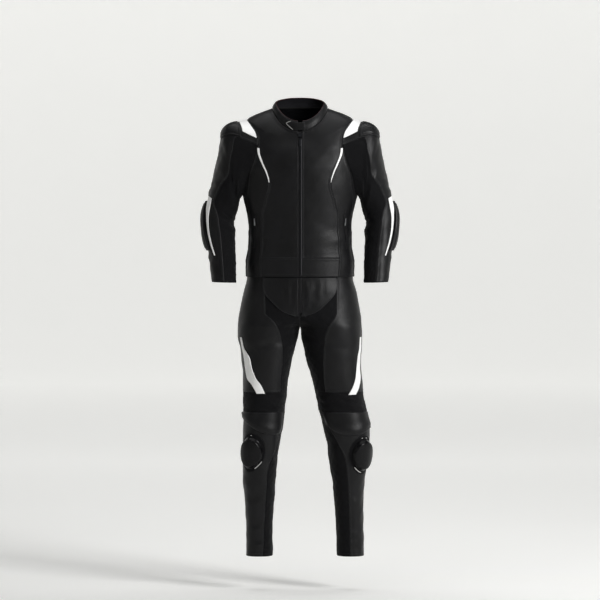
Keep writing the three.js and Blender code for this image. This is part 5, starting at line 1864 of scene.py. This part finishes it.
def fly(maker):
    """The strip down the middle of the trousers' front."""
    leg = LegChart(1, "right")

    class FlyChart(Chart):
        def point(self, x, height):
            front = leg.point(leg.inner_turn(height), height)[..., 1]
            return points_of(x, front, height)

        def middle(self, x, height):
            return points_of(x, 0, height)

    strip = patch(
        FlyChart(), FLY_BOTTOM, FLY_TOP, steady(-FLY_HALF_WIDTH), steady(FLY_HALF_WIDTH), SMALL_CELL
    )
    sew_edges(strip, maker.black, right=ONE_ROW)
    maker.lay("fly", strip, "leather", held="laid", back="leather")


def seams_of(side, name):
    """Every plain seam of one side: its chart, and turns and places along it."""
    torso, arm, leg = BodyChart(side), SleeveChart(side), LegChart(side, name)
    low, high = np.arange(ANKLE + 1, KNEE_SEAM, TAPE_STEP), np.arange(KNEE_TOP, WAIST, TAPE_STEP)
    whole, inseam = np.arange(ANKLE + 1, WAIST, TAPE_STEP), np.arange(ANKLE + 1, CROTCH, TAPE_STEP)
    rings = np.arange(TAPE_RING_STEP, LAST_RING - 0.02, TAPE_RING_STEP)
    above_knee, round_knee = np.arange(SIDE_TURN, 180, TAPE_TURN), np.arange(0, 361, TAPE_TURN)
    front, underarm = np.arange(HEM + 1, FRONT_TIP, TAPE_STEP), np.arange(HEM + 1, UNDERARM_TIP, TAPE_STEP)
    across = np.linspace(float(zip_turn(HEM_SEAM)), float(princess_turn(HEM_SEAM)), 30)
    return [
        (leg, leg.shin_seam(low), low),
        (leg, leg.thigh_seam(high), high),
        (leg, SIDE_TURN + 0 * whole, whole),
        (leg, 180 + 0 * inseam, inseam),
        (leg, above_knee, KNEE_TOP + 0 * above_knee),
        (leg, round_knee, KNEE_SEAM + 0 * round_knee),
        (arm, curve_of(SLEEVE_SEAM_FRONT, "ring", "turn")(rings), rings),
        (arm, curve_of(SLEEVE_SEAM_BACK, "ring", "turn")(rings), rings),
        (torso, princess_turn(front), front),
        (torso, side_front_turn(underarm), underarm),
        (torso, side_back_turn(underarm), underarm),
        (torso, across, HEM_SEAM + 0 * across),
    ]


def joined_seams():
    """The tape behind every plain seam, as one mesh."""
    points, quads, count = [], [], 0
    radius, depth = SEAM_TAPE
    for name, side in SIDES:
        for chart, turn, place in seams_of(side, name):
            normals = chart.normal(turn, place)
            tape, faces = tube(chart.point(turn, place) - depth * normals, normals, radius)
            points.append(tape)
            quads.append(faces + count)
            count += len(tape)
    return np.concatenate(points), np.concatenate(quads)


def seam_tapes(maker):
    """Tapes behind the seams, and bindings round the open ends."""
    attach(mesh_object("seam_tape", *joined_seams(), [maker.finish["tape"]]), "suit")
    black = maker.finish["tape"]
    torso, leg = BodyChart(1), LegChart(1, "right")

    def lay_on(name, chart, turn, place, material, size, **form):
        lay_cord(name, chart.point(turn, place), chart.normal(turn, place), material, size, **form)

    def down_the_middle(name, sign, heights):
        turn = sign * leg.inner_turn(heights)
        flat = np.array([0, 1, 1])
        line, normals = leg.point(turn, heights) * flat, leg.normal(turn, heights) * flat
        lay_cord(name, line, normals, black, MIDDLE_TAPE)

    down_the_middle("crotch_tape", 1, np.arange(CROTCH + 1, FLY_BOTTOM + CROTCH_TAPE_OVERLAP, 4.0))
    down_the_middle("seat_tape", -1, np.arange(CROTCH + 1, WAIST, 6.0))
    heights = np.arange(HEM + 4, NECK - 30, TAPE_STEP)
    lay_on("zip_edge", torso, zip_turn(heights), heights, maker.finish["zip_binding"], ZIP_EDGE)
    hem_end = float(zip_turn(HEM)) + 0.5
    hem_turn = np.linspace(hem_end, 360 - hem_end, 80)
    lay_on("hem_binding", torso, hem_turn, HEM + BINDING_RISE + 0 * hem_turn, black, HEM_BINDING)
    around = np.arange(0, 360, 6.0)
    for name, side in SIDES:
        turn = np.arange(-180, 180, TAPE_TURN)
        line, normals = BodyChart(side).point(*armhole_place(turn)), armhole_normal(side, turn, False)
        lay_cord(f"armhole_tape_{name}", line, normals, black, ARMHOLE_TAPE, closed=True)
        cuff, ankle = LAST_RING - CUFF_BINDING_RISE + 0 * around, ANKLE + BINDING_RISE + 0 * around
        lay_on(f"cuff_binding_{name}", SleeveChart(side), around, cuff, black, END_BINDING, closed=True)
        lay_on(f"ankle_binding_{name}", LegChart(side, name), around, ankle, black, END_BINDING, closed=True)


def pull_on(maker, node, body, seat):
    """A zip pull made on its solid's own box and turn: a cast plate, rounded at its end and ribbed."""
    solid = bpy.data.objects[node]
    corners = np.array([v.co[:] for v in solid.data.vertices], float)
    middle = corners.mean(axis=0)
    _, _, axes = np.linalg.svd(corners - middle)
    length, width, thick = np.ptp((corners - middle) @ axes.T, axis=0)
    long_way, wide_way = axes[0] * np.sign(axes[0][2]), axes[1]
    through = np.cross(wide_way, long_way)
    points, faces = pull_plate(*pull_outline(length, width), thick)
    placed = middle + points @ np.array([wide_way, through, long_way])
    made = mesh_object(
        node + "_made", placed * MM + [0, 0, SHOULDER_HEIGHT], faces, [maker.finish[seat]], crease=30
    )
    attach(made, body)
    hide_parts(node)


def pull_outline(length, width, steps=14):
    """Places along a pull and its half widths there: narrow at its eye, wider at its rounded end."""
    share = np.linspace(0, 1, steps)
    half = width / 2 * (0.72 + 0.28 * smoothstep(share, 0.25, 0.6))
    end = np.clip((share - 0.9) / 0.1, 0, 1)
    start = np.clip((0.08 - share) / 0.08, 0, 1)
    return length * (0.5 - share), half * np.sqrt(1 - 0.75 * end**2) * np.sqrt(1 - 0.6 * start**2)


def pull_plate(along, half, thick):
    """Points and quads of a plate along its outline, ribbed on both faces, with a bevelled rim."""
    across = np.array([-1, -0.8, -0.35, 0.35, 0.8, 1])
    height = np.array([0.5, 1, 1, 1, 1, 0.5]) * thick / 2
    rows, columns = len(along), len(across)
    x = half[:, None] * across[None, :]
    z = along[:, None] + 0 * x
    grip = 0.72 + 0.28 * np.cos(np.arange(rows) * 2.4)[:, None] ** 2
    y = height[None, :] * grip
    front = np.stack([x, y, z], axis=-1).reshape(-1, 3)
    back = np.stack([x, -y, z], axis=-1).reshape(-1, 3)
    count = rows * columns
    ring = border_of(rows, columns)
    following = np.roll(ring, -1)
    rim = np.stack([ring, following, following + count, ring + count], axis=1)
    faces = np.concatenate(
        [grid_faces(rows, columns)[:, ::-1], grid_faces(rows, columns, count), rim[:, ::-1]]
    )
    points = np.concatenate([front, back])
    if signed_volume(points, faces) < 0:
        faces = faces[:, ::-1]
    return points, faces


def keep_solid(maker, node, finish):
    """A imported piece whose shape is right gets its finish."""
    solid = bpy.data.objects[node]
    solid.data.materials.clear()
    solid.data.materials.append(maker.finish[finish])


# The stage, in metres

CAMERA_PLACE = (0.0, -9.2, -0.334)
CAMERA_AIM = (0.0, 0.0, -0.576)
LENS = 173.4  # long, as in the photograph, with no shift
SENSOR = 36.0
FLOOR = -SHOULDER_HEIGHT / MM
STAGE_REACH = 15.0
STAGE_COVE = 3.0
STAGE_WALL = 9.0
STAGE_SIDES = 64
PAPER_GLOW = {"From Min": -1.6, "From Max": 5.0, "To Min": 0.0, "To Max": 0.5}  # from front to back
LAMPS = {  # place, aim, width and height, and power in watts
    "key": ((3.0, -2.8, 1.0), (0, 0, -0.6), (1.4, 2.2), 168),
    "fill": ((-3.2, -3.4, 0.4), (0, 0, -0.7), (2.0, 2.4), 9),
    "top": ((0.2, -0.6, 2.4), (0, 0, -0.6), (2.4, 2.0), 24),
    "backdrop": ((0.0, 0.6, 2.6), (0, 3.2, -0.2), (4.0, 1.0), 50),
}
STUDIO_LIGHT = 0.09  # strength of the even light from all sides


def stage():
    """A round floor of matt paper, pale and without gloss, that curves up into a wall all round. It glows
    behind the suit, so that the suit's outline stands clear."""
    bend = np.radians(np.linspace(0, 90, 13))
    bent = STAGE_REACH - STAGE_COVE + STAGE_COVE * np.sin(bend)
    radius = np.concatenate([[0.5, 4.0], bent, [STAGE_REACH]])
    height = np.concatenate([[0.0, 0.0], STAGE_COVE - STAGE_COVE * np.cos(bend), [STAGE_WALL]])
    turn = np.arange(STAGE_SIDES) * 2 * np.pi / STAGE_SIDES
    rings = points_of(radius[:, None] * np.cos(turn), radius[:, None] * np.sin(turn), height[:, None] + FLOOR)
    i, j = np.meshgrid(np.arange(len(radius) - 1), np.arange(STAGE_SIDES), indexing="ij")
    here, there, following = i * STAGE_SIDES, (i + 1) * STAGE_SIDES, (j + 1) % STAGE_SIDES
    quads = np.stack([here + j, there + j, there + following, here + following], axis=-1).reshape(-1, 4)
    mesh = bpy.data.meshes.new("floor_and_wall")
    mesh.from_pydata(rings.reshape(-1, 3).tolist(), [], quads.tolist() + [list(range(STAGE_SIDES))])
    mesh.polygons.foreach_set("use_smooth", [True] * len(mesh.polygons))
    made = bpy.data.objects.new("floor_and_wall", mesh)
    bpy.context.scene.collection.objects.link(made)
    material, tree, shader, place = finish_material(
        "pale_paper", {"Roughness": 0.9, "Specular IOR Level": 0.1, "Emission Color": linear("#efefed")}
    )
    paint(tree, shader, shades(tree, speckle(tree, place, 400), (0.3, "#efefed"), (0.7, "#f1f1ef")))
    depth = add(tree, "ShaderNodeSeparateXYZ", links={"Vector": place}).outputs["Y"]
    lit = add(tree, "ShaderNodeMapRange", PAPER_GLOW, {"Value": depth})
    tree.links.new(lit.outputs["Result"], shader.inputs["Emission Strength"])
    mesh.materials.append(material)
    made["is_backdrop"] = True


def lamp(name, place, aim, size, power):
    """A rectangular soft lamp, turned to its aim."""
    light = bpy.data.lights.new(name, "AREA")
    light.shape, light.size, light.size_y, light.energy = "RECTANGLE", size[0], size[1], power
    made = bpy.data.objects.new(name, light)
    bpy.context.scene.collection.objects.link(made)
    made.location = place
    made.rotation_euler = (Vector(aim) - Vector(place)).to_track_quat("-Z", "Y").to_euler()


def lights():
    """Soft lamps and an even light, shown without a film curve so that the white leather stays white."""
    for name, settings in LAMPS.items():
        lamp(name, *settings)
    world = bpy.data.worlds.new("studio")
    world.use_nodes = True
    background = world.node_tree.nodes["Background"]
    background.inputs["Color"].default_value = (1, 1, 1, 1)
    background.inputs["Strength"].default_value = STUDIO_LIGHT
    bpy.context.scene.world = world
    bpy.context.scene.view_settings.view_transform = "Standard"


def camera():
    """The photograph's own view: level with the suit's middle, from far away through a long lens."""
    lens = bpy.data.cameras.new("camera")
    lens.lens, lens.sensor_width = LENS, SENSOR
    made = bpy.data.objects.new("camera", lens)
    bpy.context.scene.collection.objects.link(made)
    made.location = CAMERA_PLACE
    made.rotation_euler = (Vector(CAMERA_AIM) - Vector(CAMERA_PLACE)).to_track_quat("-Z", "Y").to_euler()
    bpy.context.scene.camera = made


def corners(bounds):
    return [list(corner) for corner in bounds]


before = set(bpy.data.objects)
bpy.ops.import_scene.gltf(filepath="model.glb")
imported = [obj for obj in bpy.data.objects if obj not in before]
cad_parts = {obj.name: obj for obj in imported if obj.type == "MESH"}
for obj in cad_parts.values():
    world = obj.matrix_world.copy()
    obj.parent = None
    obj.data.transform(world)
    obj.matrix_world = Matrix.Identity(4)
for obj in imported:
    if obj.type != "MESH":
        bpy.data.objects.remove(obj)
cad_box = corners(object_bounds())
camera()
lights()
stage()
maker = Maker()
for side_name, side_sign in SIDES:
    jacket_front(maker, side_name, side_sign)
    sleeve(maker, side_name, side_sign)
    sleeve_pieces(maker, side_name, side_sign)
    chest_strip(maker, side_name, side_sign)
    pocket_zip(maker, side_name, side_sign)
    trouser_leg(maker, side_name, side_sign)
    pull_on(maker, f"pocket_pull_{side_name}", f"{side_name}_pocket_pull", "bright_zinc")
jacket_back(maker)
collar(maker)
front_zip(maker)
fly(maker)
seam_tapes(maker)
pull_on(maker, "front_zip_pull", "front_pull", "zinc")
keep_solid(maker, "front_zip_slider", "zinc")
maker.black.piece("black_stitching", maker.finish["black_thread"])
maker.white.piece("white_stitching", maker.finish["white_thread"])
{"cad": cad_box, "visual": corners(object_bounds())}
